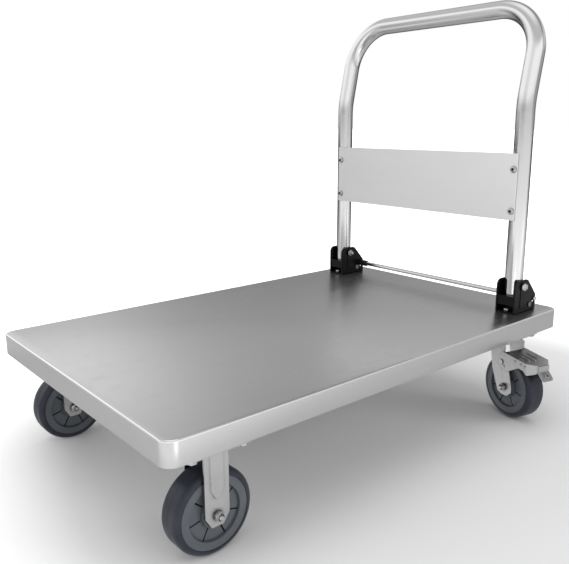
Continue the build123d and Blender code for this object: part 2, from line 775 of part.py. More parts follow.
def make_hinge_bracket(side, label):
    """Folded bracket bolted to the deck: two ears with a slot for the rod and a pad round the pivot."""
    y = side * handle_y
    low_x, low_z = rod_position(latch_travel)
    run = math.hypot(low_x - rod_x, low_z - rod_z)
    tilt = math.degrees(math.atan2(low_z - rod_z, low_x - rod_x))
    with BuildPart() as bracket:
        with BuildSketch(Plane.XZ.offset(-y)) as profile:
            with BuildLine():
                Polyline((bracket_front_x, deck_top), (bracket_front_x, ear_top_z), (ear_shoulder_x, ear_top_z),
                         (bracket_rear_x, ear_shoulder_z), (bracket_rear_x, deck_top), close=True)
            make_face()
            fillet(profile.vertices().group_by(Axis.Y)[-1], 12)
            fillet(profile.vertices().sort_by(Axis.X)[0:2].sort_by(Axis.Y)[-1], 8)
        extrude(amount=ear_outer, both=True)
        with BuildSketch(Plane.XZ.offset(-y)):
            with Locations((handle_x, base_top)):
                Rectangle(2 * tube_end_z, tube_end_z, align=(Align.CENTER, Align.MIN))
        extrude(amount=ear_inner, both=True, mode=Mode.SUBTRACT)
        fillet(bracket.edges().filter_by(Axis.X).group_by(Axis.Z)[0], bracket_sheet - 0.5)
        for outward in (1, -1):
            with BuildSketch(Plane.XZ.offset(-y + outward * ear_outer)) as pad:
                with BuildLine():
                    Polyline((ear_shoulder_x + 24, base_top + 6), (ear_shoulder_x + 24, ear_top_z - 3),
                             (ear_shoulder_x - 1, ear_top_z - 3), (bracket_rear_x + 3, ear_shoulder_z - 1),
                             (bracket_rear_x + 3, base_top + 6), close=True)
                make_face()
                fillet(pad.vertices(), 4)
            extrude(amount=outward * pad_height)
        with BuildSketch(Plane.XZ.offset(-y)):
            with Locations((handle_x, pivot_z)):
                Circle(m8_radius + running_gap)
            with Locations((pin_x, pin_z)):
                Circle(pin_radius + running_gap)
            with Locations(Location(((rod_x + low_x) / 2, (rod_z + low_z) / 2), tilt)):
                SlotCenterToCenter(run, 2 * (rod_radius + slot_clearance))
        extrude(amount=2 * ear_outer, both=True, mode=Mode.SUBTRACT)
        with BuildSketch(Plane.XY.offset(base_top)):
            with Locations(*base_bolt_points(side)):
                Circle(m8_hole_radius)
        extrude(amount=-bracket_sheet, mode=Mode.SUBTRACT)
    save(bracket, label)


def make_stop_bars():
    """Bars between the ears that stop the upright handle from going further back."""
    rear = handle_x + tube_radius + stop_gap
    with BuildPart() as bars:
        for side in sides.values():
            with BuildSketch(Plane.XZ.offset(-side * handle_y)):
                with Locations((rear, stop_bar_bottom)):
                    Rectangle(stop_bar_front_x - rear, stop_bar_top - stop_bar_bottom,
                              align=(Align.MIN, Align.MIN))
            extrude(amount=ear_inner, both=True)
    save(bars, "stop_bars")


def make_bracket_bolts():
    """Hex bolts down through the bracket bases and the deck, with their nuts below."""
    points = base_bolt_points(1) + base_bolt_points(-1)
    nut_top = deck_under
    with BuildPart() as bolts:
        with BuildSketch(Plane.XY.offset(base_top)):
            with Locations(*points):
                RegularPolygon(m8_flats / 2, 6, major_radius=False)
        extrude(amount=m8_head)
        chamfer(bolts.edges().group_by(Axis.Z)[-1], head_chamfer)
        with BuildSketch(Plane.XY.offset(base_top)):
            with Locations(*points):
                Circle(m8_radius)
        extrude(amount=nut_top - m8_nut - m8_thread_out - base_top)
    save(bolts, "bracket_bolts")
    with BuildPart() as nuts:
        with BuildSketch(Plane.XY.offset(nut_top)):
            with Locations(*points):
                RegularPolygon(m8_flats / 2, 6, major_radius=False)
            with Locations(*points):
                Circle(m8_radius + running_gap, mode=Mode.SUBTRACT)
        extrude(amount=-m8_nut)
    save(nuts, "bracket_nuts")


def make_pivot_bolts():
    """Bolts that the handle folds on, heads outside, and the nuts on the inner ears."""
    face = ear_outer + pad_height
    with BuildPart() as bolts:
        for side in sides.values():
            outer_face = -side * (handle_y + face)
            with BuildSketch(Plane.XZ.offset(outer_face)):
                with Locations((handle_x, pivot_z)):
                    RegularPolygon(m8_flats / 2, 6, major_radius=False)
            extrude(amount=-side * m8_head)
            with BuildSketch(Plane.XZ.offset(outer_face)):
                with Locations((handle_x, pivot_z)):
                    Circle(m8_radius)
            extrude(amount=side * (2 * face + lock_nut + m8_thread_out))
    save(bolts, "pivot_bolts")
    with BuildPart() as nuts:
        for side in sides.values():
            with BuildSketch(Plane.XZ.offset(-side * (handle_y - face))):
                with Locations((handle_x, pivot_z)):
                    RegularPolygon(m8_flats / 2, 6, major_radius=False)
                    Circle(m8_radius + running_gap, mode=Mode.SUBTRACT)
            extrude(amount=side * lock_nut)
    save(nuts, "pivot_nuts")


def make_latch_pins():
    """Headed pins across the ears that the latch hooks rock on."""
    face = ear_outer + pad_height
    with BuildPart() as pins:
        for side in sides.values():
            with BuildSketch(Plane.XZ.offset(-side * handle_y)):
                with Locations((pin_x, pin_z)):
                    Circle(pin_radius)
            extrude(amount=face, both=True)
            for outward in (1, -1):
                with BuildSketch(Plane.XZ.offset(-side * handle_y + outward * face)):
                    with Locations((pin_x, pin_z)):
                        Circle(pin_radius + 1)
                extrude(amount=outward * 2)
    save(pins, "latch_pins")


def make_latch_hooks():
    """Hooks on the release rod whose noses stand behind the tube's lower end."""
    boss = pin_radius + boss_wall
    ring = rod_radius + rod_ring_wall
    with BuildPart() as hooks:
        for side in sides.values():
            with BuildSketch(Plane.XZ.offset(-side * handle_y)):
                with Locations((pin_x, pin_z)):
                    Circle(boss)
                with Locations((rod_x, rod_z)):
                    Circle(ring)
                with BuildLine():
                    Polyline((nose_x, nose_z), (nose_x, pin_z), (pin_x - boss / 2, pin_z - boss / 2),
                             (rod_x, rod_z - ring), (rod_x, rod_z + ring), (nose_x - 6, nose_z - 3), close=True)
                make_face()
                with Locations((pin_x, pin_z)):
                    Circle(pin_radius + running_gap, mode=Mode.SUBTRACT)
                with Locations((rod_x, rod_z)):
                    Circle(rod_radius + running_gap, mode=Mode.SUBTRACT)
            extrude(amount=hook_width / 2, both=True)
    save(hooks, "latch_hooks")


def make_release_rod():
    """Foot rod through both brackets, with rounded ends."""
    reach = handle_y + ear_outer + pad_height + rod_overhang
    with BuildPart() as rod:
        with BuildSketch(Plane.XZ):
            with Locations((rod_x, rod_z)):
                Circle(rod_radius)
        extrude(amount=reach, both=True)
        fillet(rod.edges().filter_by(GeomType.CIRCLE), 1.5)
    save(rod, "release_rod")


def make_rod_collars():
    """Black collars on the rod beside the inner ears."""
    ear_face = handle_y - ear_outer - pad_height - slot_clearance
    with BuildPart() as collars:
        for side in sides.values():
            with BuildSketch(Plane.XZ.offset(-side * ear_face)):
                with Locations((rod_x, rod_z)):
                    Circle(collar_radius)
                    Circle(rod_radius + running_gap, mode=Mode.SUBTRACT)
            extrude(amount=side * collar_length)
    save(collars, "rod_collars")


def make_latch_springs():
    """Coil springs round the latch pins that lift the rod again."""
    room = ear_inner - hook_width / 2
    pitch = (room - 2 * spring_wire) / spring_turns
    radius = pin_radius + spring_wire
    with BuildPart() as springs:
        for side in sides.values():
            start = handle_y + hook_width / 2 + spring_wire
            with BuildLine() as coil:
                Helix(pitch, pitch * spring_turns, radius, center=(pin_x, side * start, pin_z),
                      direction=(0, side, 0))
            with BuildSketch(Plane(coil.line @ 0, z_dir=coil.line % 0)):
                Circle(spring_wire / 2)
            sweep(is_frenet=True)
    save(springs, "latch_springs")


def make_wheel(frame, trail, label):
    """One wheel: tyre, hub and bearings."""
    make_tyre(frame, trail, f"{label}_tyre")
    make_hub(frame, trail, f"{label}_hub")
    make_bearings(frame, trail, f"{label}_bearings")


def main():
    os.makedirs("parts", exist_ok=True)
    make_deck_tray()
    make_cross_channel(front_caster_x, "front_cross_channel")
    make_cross_channel(rear_caster_x, "rear_cross_channel")
    make_side_stiffeners()
    make_rigid_top_plates()
    make_swivel_top_plates()
    make_kingpins()
    make_caster_bolts()
    for name, frame in front_frames.items():
        make_rigid_fork(frame, f"front_{name}_fork")
        make_wheel(frame, 0, f"front_{name}")
    make_axle_fasteners(front_frames.values(), 0, -1, "front_axle_bolts", "front_axle_nuts")
    make_axle_sleeves(front_frames.values(), 0, "front_axle_sleeves")
    for name, frame in rear_frames.items():
        make_swivel_fork(frame, f"rear_{name}_fork")
        make_lower_race(frame, f"rear_{name}_race")
        make_axle_fasteners([frame], swivel_trail, sides[name], f"rear_{name}_axle_fasteners", None)
        make_axle_sleeves([frame], swivel_trail, f"rear_{name}_axle_sleeve")
        make_wheel(frame, swivel_trail, f"rear_{name}")
        make_brake_pin(frame, f"rear_{name}_brake_pins")
        make_brake_pedal(frame, f"rear_{name}_brake_pedal")
        make_pedal_tab(frame, f"rear_{name}_pedal_tab")
        make_brake_shoe(frame, f"rear_{name}_brake_shoe")
    make_handle_tube()
    make_back_panel()
    make_panel_screws()
    make_pivot_sleeves()
    for name, side in sides.items():
        make_hinge_bracket(side, f"{name}_hinge_bracket")
    make_stop_bars()
    make_bracket_bolts()
    make_pivot_bolts()
    make_latch_pins()
    make_latch_hooks()
    make_release_rod()
    make_rod_collars()
    make_latch_springs()


main()
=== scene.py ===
"""Looks of a flatbed platform truck: finishes, detailed pieces, studio and camera."""

import json
import logging
import math
from dataclasses import dataclass
from enum import Enum
from typing import Callable, Sequence

import bmesh
import bpy
from mathutils import Matrix, Vector


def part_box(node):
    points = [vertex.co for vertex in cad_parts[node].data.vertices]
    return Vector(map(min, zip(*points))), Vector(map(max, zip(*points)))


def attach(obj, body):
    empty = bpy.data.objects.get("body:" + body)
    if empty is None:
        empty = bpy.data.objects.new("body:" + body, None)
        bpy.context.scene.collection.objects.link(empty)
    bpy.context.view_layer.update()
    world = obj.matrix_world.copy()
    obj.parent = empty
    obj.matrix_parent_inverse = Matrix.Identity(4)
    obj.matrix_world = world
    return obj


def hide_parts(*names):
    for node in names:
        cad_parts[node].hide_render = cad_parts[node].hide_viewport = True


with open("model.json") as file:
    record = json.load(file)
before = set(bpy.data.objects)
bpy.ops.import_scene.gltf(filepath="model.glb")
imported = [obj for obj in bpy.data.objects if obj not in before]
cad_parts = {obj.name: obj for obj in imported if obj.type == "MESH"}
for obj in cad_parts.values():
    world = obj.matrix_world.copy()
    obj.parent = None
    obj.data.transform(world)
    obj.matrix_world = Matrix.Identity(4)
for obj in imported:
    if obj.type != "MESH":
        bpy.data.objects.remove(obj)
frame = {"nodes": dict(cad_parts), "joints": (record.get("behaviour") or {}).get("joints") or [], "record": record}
JOINTS = {joint["name"]: joint for joint in frame["joints"]}
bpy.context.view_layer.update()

logging.basicConfig(level=logging.INFO, format="%(message)s")
LOG = logging.getLogger("platform_truck")

MM = 0.001
Piece = bpy.types.Object
Colour = tuple[float, float, float]
Point = tuple[float, float, float]
UP = Vector((0, 0, 1))
ACROSS = Vector((0, 1, 0))
FORWARD = Vector((1, 0, 0))


class Slot(Enum):
    """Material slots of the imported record."""

    DECK = "deck_steel"
    HANDLE = "handle_steel"
    PANEL = "panel_steel"
    PRESSING = "zinc_sheet"
    HARDWARE = "zinc_hardware"
    BEARING = "bearing_steel"
    DARK = "dark_hardware"
    POWDER = "black_powder_coat"
    COLLAR = "black_plastic"
    TREAD = "tread"
    HUB = "hub_plastic"
    SHOE = "shoe_rubber"


class Grain(Enum):
    """How a sheet's brushing is stretched along the row's axes: small along the strokes, large across."""

    LENGTHWISE = (4.0, 900.0, 900.0)
    CROSSWISE = (900.0, 4.0, 900.0)
    UPRIGHT = (900.0, 900.0, 4.0)


class Side(Enum):
    """Left and right of the truck, as the sign of Y."""

    LEFT = 1
    RIGHT = -1

    @property
    def word(self) -> str:
        """The side's word in node names."""
        return self.name.lower()


class NodeTree:
    """A node tree with short calls for what finishes and surroundings share."""

    def __init__(self, tree: bpy.types.NodeTree, place: str) -> None:
        """Take a tree and the coordinates that its patterns follow.

        Args:
            tree: The tree to fill.
            place: Name of the coordinates.
        """
        self.nodes = tree.nodes
        self.links = tree.links
        self.place = self.new("TexCoord").outputs[place]

    def new(self, kind: str) -> bpy.types.Node:
        """A new shader node of a kind."""
        return self.nodes.new(f"ShaderNode{kind}")

    def stretched(self, scale: Point) -> bpy.types.NodeSocket:
        """Coordinates stretched for a directional pattern.

        Args:
            scale: Factor along each axis.

        Returns:
            The stretched coordinates.
        """
        mapping = self.new("Mapping")
        mapping.inputs["Scale"].default_value = scale
        self.links.new(self.place, mapping.inputs["Vector"])
        return mapping.outputs["Vector"]

    def noise(self, scale: float, detail: float = 3.0, place: bpy.types.NodeSocket | None = None):
        """Noise texture.

        Args:
            scale: Cells per metre.
            detail: Number of finer layers.
            place: Coordinates, or None for the plain ones.

        Returns:
            The noise value.
        """
        texture = self.new("TexNoise")
        texture.inputs["Scale"].default_value = scale
        texture.inputs["Detail"].default_value = detail
        self.links.new(place or self.place, texture.inputs["Vector"])
        return texture.outputs["Fac"]

    def cells(self, scale: float):
        """Cell texture whose value steps from crystal to crystal.

        Args:
            scale: Cells per metre.

        Returns:
            The cell's colour.
        """
        texture = self.new("TexVoronoi")
        texture.inputs["Scale"].default_value = scale
        self.links.new(self.place, texture.inputs["Vector"])
        return texture.outputs["Color"]

    def between(self, value, low: float, high: float, start: float = 0.3, end: float = 0.7):
        """Spread a value over a range.

        Args:
            value: The socket to read.
            low: Result at the start.
            high: Result at the end.
            start: Value that gives low.
            end: Value that gives high.

        Returns:
            The spread value.
        """
        spread = self.new("MapRange")
        for socket, number in zip(("From Min", "From Max", "To Min", "To Max"), (start, end, low, high)):
            spread.inputs[socket].default_value = number
        self.links.new(value, spread.inputs["Value"])
        return spread.outputs["Result"]

    def mix(self, first, second, operation: str = "ADD"):
        """Join two values by arithmetic.

        Args:
            first: One socket.
            second: The other socket.
            operation: Math node operation.

        Returns:
            The result.
        """
        maths = self.new("Math")
        maths.operation = operation
        self.links.new(first, maths.inputs[0])
        self.links.new(second, maths.inputs[1])
        return maths.outputs["Value"]

    def tint(self, value, dark: Colour, light: Colour):
        """Blend two colours by a value.

        Args:
            value: Blend factor.
            dark: Colour at zero.
            light: Colour at one.

        Returns:
            The blended colour.
        """
        mix = self.new("Mix")
        mix.data_type = "RGBA"
        mix.inputs[6].default_value = (*dark, 1)
        mix.inputs[7].default_value = (*light, 1)
        self.links.new(value, mix.inputs[0])
        return mix.outputs[2]

    def graded(self, value, stops: Sequence[tuple[float, float]]):
        """Brightness that changes along a value.

        Args:
            value: The socket to read.
            stops: Pairs of value and brightness.

        Returns:
            The brightness.
        """
        lowest, highest = stops[0][0], stops[-1][0]
        curve = self.new("ValToRGB")
        curve.color_ramp.elements.remove(curve.color_ramp.elements[0])
        for number, (place, light) in enumerate(stops):
            where = (place - lowest) / (highest - lowest)
            stop = curve.color_ramp.elements[0] if number == 0 else curve.color_ramp.elements.new(where)
            stop.position = where
            stop.color = (light, light, light, 1)
        self.links.new(self.between(value, 0.0, 1.0, lowest, highest), curve.inputs["Fac"])
        return curve.outputs["Color"]

    def against(self, point: Point, operation: str, place=None):
        """Measure coordinates against a point or a direction.

        Args:
            point: The point or direction.
            operation: Vector math node operation, DISTANCE or DOT_PRODUCT.
            place: Coordinates, or None for the plain ones.

        Returns:
            The measure.
        """
        maths = self.new("VectorMath")
        maths.operation = operation
        maths.inputs[1].default_value = point
        self.links.new(place or self.place, maths.inputs[0])
        return maths.outputs["Value"]

    def by_camera(self, unseen, seen, output: str) -> None:
        """Show one shader to the camera and another to reflections.

        Args:
            unseen: Shader that reflections see.
            seen: Shader that the camera sees.
            output: Name of the output node.
        """
        path = self.new("LightPath")
        mix = self.new("MixShader")
        self.links.new(path.outputs["Is Camera Ray"], mix.inputs["Fac"])
        self.links.new(unseen, mix.inputs[1])
        self.links.new(seen, mix.inputs[2])
        self.links.new(mix.outputs["Shader"], self.nodes[output].inputs["Surface"])


class NodeBook(NodeTree):
    """A material's node tree round its shader."""

    def __init__(self, name: str) -> None:
        """Start a material.

        Args:
            name: The finish's name.
        """
        self.material = bpy.data.materials.new(name)
        self.material.use_nodes = True
        super().__init__(self.material.node_tree, "Object")
        self.shader = self.nodes["Principled BSDF"]

    def crevice(self, shade, reach: float, depth: float, shut: float = 0.35, clear: float = 0.85):
        """Paint shade into a colour in corners and under edges: painted shade, read from ambient occlusion.

        Args:
            shade: The colour.
            reach: How far from a corner it darkens, in metres.
            depth: How dark the deepest corner gets, from 0 to 1.
            shut: Openness below which it is darkest.
            clear: Openness above which it stays as it is.

        Returns:
            The darkened colour.
        """
        corner = self.new("AmbientOcclusion")
        corner.samples = 4
        corner.inputs["Distance"].default_value = reach
        mix = self.new("Mix")
        mix.data_type = "RGBA"
        mix.blend_type = "MULTIPLY"
        mix.inputs[0].default_value = 1.0
        self.links.new(shade, mix.inputs[6])
        openness = self.between(corner.outputs["AO"], 1 - depth, 1.0, shut, clear)
        self.links.new(openness, mix.inputs[7])
        return mix.outputs[2]

    def relief(self, height, depth: float, strength: float) -> None:
        """Give the surface a fine relief.

        Args:
            height: Height value.
            depth: Depth of the relief in metres.
            strength: How strongly it shows.
        """
        bump = self.new("Bump")
        bump.inputs["Distance"].default_value = depth
        bump.inputs["Strength"].default_value = strength
        self.links.new(height, bump.inputs["Height"])
        self.links.new(bump.outputs["Normal"], self.shader.inputs["Normal"])

    def feed(self, name: str, socket) -> None:
        """Lead a socket to one of the shader's inputs."""
        self.links.new(socket, self.shader.inputs[name])


def scaled(colour: Colour, factor: float) -> Colour:
    """A colour made lighter or darker."""
    return tuple(min(1.0, channel * factor) for channel in colour)


@dataclass(frozen=True)
class Finish:
    """A surface finish with a name and a main colour."""

    name: str
    colour: Colour

    def build(self) -> bpy.types.Material:
        """Make the material.

        Returns:
            The finished material.
        """
        book = NodeBook(self.name)
        self.lay(book)
        return book.material

    def lay(self, book: NodeBook) -> None:
        """Fill the material's nodes.

        Args:
            book: The material's node tree.
        """
        raise NotImplementedError


@dataclass(frozen=True)
class BrushedFinish(Finish):
    """Stainless steel with fine strokes one way, soft clouds and a few handling marks."""

    grain: Grain
    smooth: float
    rough: float
    contrast: float = 0.05
    depth: float = 0.00002

    def lay(self, book: NodeBook) -> None:
        """Strokes, clouds, marks and painted shade in corners."""
        strokes = book.noise(1.0, 5.0, book.stretched(self.grain.value))
        clouds = book.noise(5.0, 3.0)
        marks = book.between(book.noise(38.0, 6.0), 0.0, 1.0, 0.56, 0.74)
        shade = book.mix(book.between(strokes, 0.0, 0.7), book.between(clouds, 0.0, 0.3))
        dark = scaled(self.colour, 1 - self.contrast)
        light = scaled(self.colour, 1 + self.contrast)
        colour = book.tint(shade, dark, light)
        # Painted shade: the colour darkens in corners and under edges.
        book.feed("Base Color", book.crevice(colour, 4 * MM, 0.7))
        dull = book.between(marks, 0.0, 0.05, 0.0, 1.0)
        book.feed("Roughness", book.mix(book.between(strokes, self.smooth, self.rough), dull))
        book.shader.inputs["Metallic"].default_value = 1.0
        book.relief(strokes, self.depth, 0.5)


@dataclass(frozen=True)
class PlatedFinish(Finish):
    """Zinc plated steel: faint crystals, cloudy patches and a slight dullness in them."""

    smooth: float
    rough: float
    crystal: float = 160.0

    def lay(self, book: NodeBook) -> None:
        """Crystals, clouds, a fine grain and painted shade in corners."""
        crystals = book.cells(self.crystal)
        clouds = book.noise(30.0, 5.0)
        fine = book.noise(900.0, 2.0)
        shade = book.mix(book.between(crystals, 0.0, 0.3, 0.0, 1.0), book.between(clouds, 0.0, 0.7))
        colour = book.tint(shade, scaled(self.colour, 0.88), scaled(self.colour, 1.06))
        # Painted shade: the colour darkens in corners, under edges and at the foot of ribs.
        book.feed("Base Color", book.crevice(colour, 5 * MM, 0.75, 0.4, 0.97))
        book.feed("Roughness", book.between(clouds, self.smooth, self.rough))
        book.shader.inputs["Metallic"].default_value = 1.0
        book.relief(fine, 0.00003, 0.4)


@dataclass(frozen=True)
class CoatedFinish(Finish):
    """Powder coat or moulded surface: a fine peel, faint dust and an even sheen."""

    dust: Colour
    smooth: float
    rough: float
    peel: float
    depth: float
    gloss: float = 0.5

    def lay(self, book: NodeBook) -> None:
        """Peel, dust and painted shade in corners."""
        peel = book.noise(self.peel, 4.0)
        dusting = book.between(book.noise(26.0, 6.0), 0.0, 0.55, 0.48, 0.72)
        # Painted shade: the colour darkens in slits, corners and under edges.
        book.feed("Base Color", book.crevice(book.tint(dusting, self.colour, self.dust), 4 * MM, 0.9))
        book.feed("Roughness", book.between(book.noise(60.0, 4.0), self.smooth, self.rough))
        book.shader.inputs["Specular IOR Level"].default_value = self.gloss
        book.relief(peel, self.depth, 0.6)


FINISHES = {
    Slot.DECK: BrushedFinish("satin_deck_sheet", (0.535, 0.535, 0.54), Grain.LENGTHWISE, 0.27, 0.34, 0.03),
    Slot.HANDLE: BrushedFinish("polished_tube", (0.68, 0.68, 0.68), Grain.UPRIGHT, 0.13, 0.20, 0.02,
                               0.000008),
    Slot.PANEL: BrushedFinish("satin_panel_sheet", (0.88, 0.88, 0.88), Grain.CROSSWISE, 0.34, 0.44, 0.02),
    Slot.PRESSING: PlatedFinish("bright_zinc_pressing", (0.48, 0.48, 0.485), 0.24, 0.36),
    Slot.HARDWARE: PlatedFinish("zinc_fastener", (0.50, 0.50, 0.50), 0.20, 0.32, 420.0),
    Slot.BEARING: PlatedFinish("ground_bearing_steel", (0.45, 0.46, 0.47), 0.18, 0.28, 700.0),
    Slot.DARK: PlatedFinish("dull_steel", (0.26, 0.26, 0.27), 0.28, 0.42, 500.0),
    Slot.POWDER: CoatedFinish("black_powder_coat", (0.003, 0.003, 0.0035), (0.009, 0.009, 0.009), 0.24,
                              0.36, 1400.0, 0.00004, 0.16),
    Slot.COLLAR: CoatedFinish("black_collar", (0.008, 0.008, 0.009), (0.02, 0.02, 0.02), 0.4, 0.55, 1800.0,
                              0.00004, 0.35),
    Slot.TREAD: CoatedFinish("grey_black_tread", (0.018, 0.021, 0.033), (0.036, 0.041, 0.056), 0.34, 0.48,
                             2400.0, 0.00004, 0.35),
    Slot.HUB: CoatedFinish("grey_moulded_hub", (0.085, 0.095, 0.108), (0.115, 0.125, 0.138), 0.36, 0.48,
                           2600.0, 0.00003, 0.4),
    Slot.SHOE: CoatedFinish("black_brake_shoe", (0.012, 0.012, 0.013), (0.03, 0.03, 0.03), 0.6, 0.75,
                            1500.0, 0.00008, 0.3),
}
# Deck folds: burnished, with lower roughness, and with a colour lighter than the deck's that is a painted
# highlight along the fold.
BURNISHED_FOLD_WITH_PAINTED_HIGHLIGHT = BrushedFinish("burnished_fold", (0.80, 0.80, 0.805), Grain.LENGTHWISE, 0.08, 0.12, 0.02,
                               0.000004)


class Paintbox:
    """Makes each finish once and hands it out."""

    def __init__(self) -> None:
        """Start with no finish made."""
        self.made: dict[Slot, bpy.types.Material] = {}

    def coat(self, piece: Piece, slot: Slot) -> None:
        """Give a piece the material of its slot.

        Args:
            piece: The piece to dress.
            slot: The record's slot.
        """
        if slot not in self.made:
            self.made[slot] = FINISHES[slot].build()
        piece.data.materials.clear()
        piece.data.materials.append(self.made[slot])

    @staticmethod
    def accent(piece: Piece, finish: BrushedFinish,
               chosen: Callable[[bpy.types.MeshPolygon], bool]) -> None:
        """Give some faces of a dressed piece another finish.

        Args:
            piece: The piece.
            finish: The other finish.
            chosen: Says whether a face gets it.
        """
        piece.data.materials.append(finish.build())
        for face in piece.data.polygons:
            if chosen(face):
                face.material_index = 1


PAINT = Paintbox()


def add_primitive(name: str, add: Callable[..., set], **settings) -> Piece:
    """Add one primitive with nothing else selected, its place in its mesh.

    Args:
        name: The piece's name.
        add: Operator that adds the primitive.
        **settings: The operator's settings.

    Returns:
        The new object.
    """
    bpy.ops.object.select_all(action="DESELECT")
    add(**settings)
    piece = bpy.context.object
    piece.name = name
    piece.data.name = name
    bpy.ops.object.transform_apply(location=True, rotation=True, scale=True)
    return piece


def edit(piece: Piece, action: str = "DESELECT") -> None:
    """Open a piece in edit mode with nothing or everything selected."""
    select([piece])
    bpy.ops.object.mode_set(mode="EDIT")
    bpy.ops.mesh.select_all(action=action)


def leave() -> None:
    """Go back to object mode."""
    bpy.ops.object.mode_set(mode="OBJECT")


def pick(kind: str, piece: Piece, test: Callable[..., bool]) -> None:
    """Select the faces or edges of the open piece that pass a test, and only those.

    Args:
        kind: FACE or EDGE.
        piece: The piece in edit mode.
        test: True for a wanted face or edge.
    """
    bpy.ops.mesh.select_mode(type=kind)
    bpy.ops.mesh.select_all(action="DESELECT")
    mesh = bmesh.from_edit_mesh(piece.data)
    for element in mesh.faces if kind == "FACE" else mesh.edges:
        element.select_set(test(element))
    bmesh.update_edit_mesh(piece.data)


def recalculate(piece: Piece) -> None:
    """Merge doubles and point every face outwards."""
    edit(piece, "SELECT")
    bpy.ops.mesh.remove_doubles(threshold=0.000005)
    bpy.ops.mesh.normals_make_consistent(inside=False)
    leave()


def modify(piece: Piece, kind: str, **settings) -> None:
    """Add a modifier and apply it.

    Args:
        piece: The piece to modify.
        kind: Modifier type.
        **settings: The modifier's settings.
    """
    modifier = piece.modifiers.new(kind.lower(), kind)
    for setting, value in settings.items():
        setattr(modifier, setting, value)
    bpy.context.view_layer.objects.active = piece
    bpy.ops.object.modifier_apply(modifier=modifier.name)


def select(pieces: Sequence[Piece]) -> None:
    """Select these pieces alone, the first one active."""
    bpy.ops.object.select_all(action="DESELECT")
    for piece in pieces:
        piece.select_set(True)
    bpy.context.view_layer.objects.active = pieces[0]


def smooth(piece: Piece, angle: float = 35.0) -> None:
    """Shade a piece smooth up to an angle in degrees."""
    select([piece])
    bpy.ops.object.shade_smooth_by_angle(angle=math.radians(angle))


def join(name: str, parts: Sequence[Piece]) -> Piece:
    """Join several meshes into one piece.

    Args:
        name: The joined piece's name.
        parts: The meshes to join.

    Returns:
        The joined piece.
    """
    select(parts)
    if len(parts) > 1:
        bpy.ops.object.join()
    joined = bpy.context.view_layer.objects.active
    joined.name = name
    joined.data.name = name
    return joined


def hand_over(piece: Piece, body: str, slot: Slot,
              stands_for: Sequence[str] = ()) -> None:
    """Dress a finished piece and put it on its body.

    Args:
        piece: The finished piece.
        body: The CAD body it moves with.
        slot: Its material slot.
        stands_for: CAD nodes that it replaces.
    """
    PAINT.coat(piece, slot)
    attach(piece, body)
    if stands_for:
        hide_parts(*stands_for)
    LOG.info("%s: %d faces on %s", piece.name, len(piece.data.polygons), body)


def body_of_node(node: str) -> str:
    """The CAD body that holds a node."""
    bodies = frame["record"]["behaviour"]["bodies"]
    return next(body for body, members in bodies.items() if node in members)


def across(axis: Vector) -> Vector:
    """A unit direction at right angles to an axis, level where there is one."""
    first = axis.cross(UP)
    return first.normalized() if first.length > 0.1 else FORWARD


def lathe(name: str, outline: Sequence[tuple[float, float]], centre: Vector, axis: Vector,
          steps: int = 72) -> Piece:
    """Draw an outline vertex by vertex and spin it round an axis.

    Args:
        name: The piece's name.
        outline: Points as (distance along the axis, radius), in metres.
        centre: Where distance zero lies.
        axis: Unit direction of the axis.
        steps: Steps of the full turn.

    Returns:
        The round piece.
    """
    radial = across(axis)
    points = [centre + axis * along + radial * radius for along, radius in outline]
    piece = add_primitive(name, bpy.ops.mesh.primitive_plane_add, size=MM)
    edit(piece)
    bpy.ops.mesh.select_mode(type="VERT")
    bpy.ops.mesh.select_all(action="SELECT")
    bpy.ops.mesh.merge(type="CENTER")
    bpy.ops.transform.translate(value=points[0])
    for start, end in zip(points, points[1:]):
        bpy.ops.mesh.extrude_region_move(TRANSFORM_OT_translate={"value": end - start})
    bpy.ops.mesh.select_all(action="SELECT")
    bpy.ops.mesh.spin(steps=steps, angle=math.tau, center=centre, axis=axis)
    leave()
    recalculate(piece)
    smooth(piece)
    return piece


def arc(centre: tuple[float, float], radius: float, start: float, end: float, steps: int) -> list:
    """Points of an arc in an outline.

    Args:
        centre: The arc's centre as (along, radius).
        radius: The arc's own radius.
        start: First angle in degrees, from the axis direction towards larger radius.
        end: Last angle.
        steps: Number of steps.

    Returns:
        The points from start to end.
    """
    angles = [math.radians(start + (end - start) * step / steps) for step in range(steps + 1)]
    return [(centre[0] + radius * math.cos(a), centre[1] + radius * math.sin(a)) for a in angles]


def in_mm(outline: Sequence[tuple[float, float]]) -> list[tuple[float, float]]:
    """An outline given in millimetres, in metres."""
    return [(along * MM, radius * MM) for along, radius in outline]


def hex_prism(name: str, centre: Vector, axis: Vector, flats: float, depth: float,
              turn: float) -> Piece:
    """Hexagon head with its corners turned off at the far end, resting on a face.

    Args:
        name: The piece's name.
        centre: Middle of the face it rests on.
        axis: Unit direction away from that face.
        flats: Width across flats.
        depth: Height of the head.
        turn: Turn about the axis in degrees.

    Returns:
        The head.
    """
    upright = axis.to_track_quat("Z", "Y")
    piece = add_primitive(name, bpy.ops.mesh.primitive_cylinder_add, vertices=6,
                          radius=flats / math.sqrt(3), depth=depth, rotation=upright.to_euler(),
                          location=centre + axis * depth / 2)
    edit(piece, "SELECT")
    bpy.ops.transform.rotate(value=math.radians(turn), orient_axis="Z", center_override=centre,
                             orient_matrix=upright.to_matrix(), orient_type="GLOBAL",
                             orient_matrix_type="GLOBAL")
    top = depth * 0.999
    pick("FACE", piece, lambda face: (face.calc_center_median() - centre).dot(axis) > top)
    bpy.ops.mesh.inset(thickness=flats * 0.07, depth=0)
    bpy.ops.transform.translate(value=axis * flats * 0.02)
    bpy.ops.mesh.inset(thickness=flats * 0.04, depth=0)
    leave()
    modify(piece, "BEVEL", width=flats * 0.02, segments=2, limit_method="ANGLE",
           angle_limit=math.radians(20))
    smooth(piece, 30)
    return piece


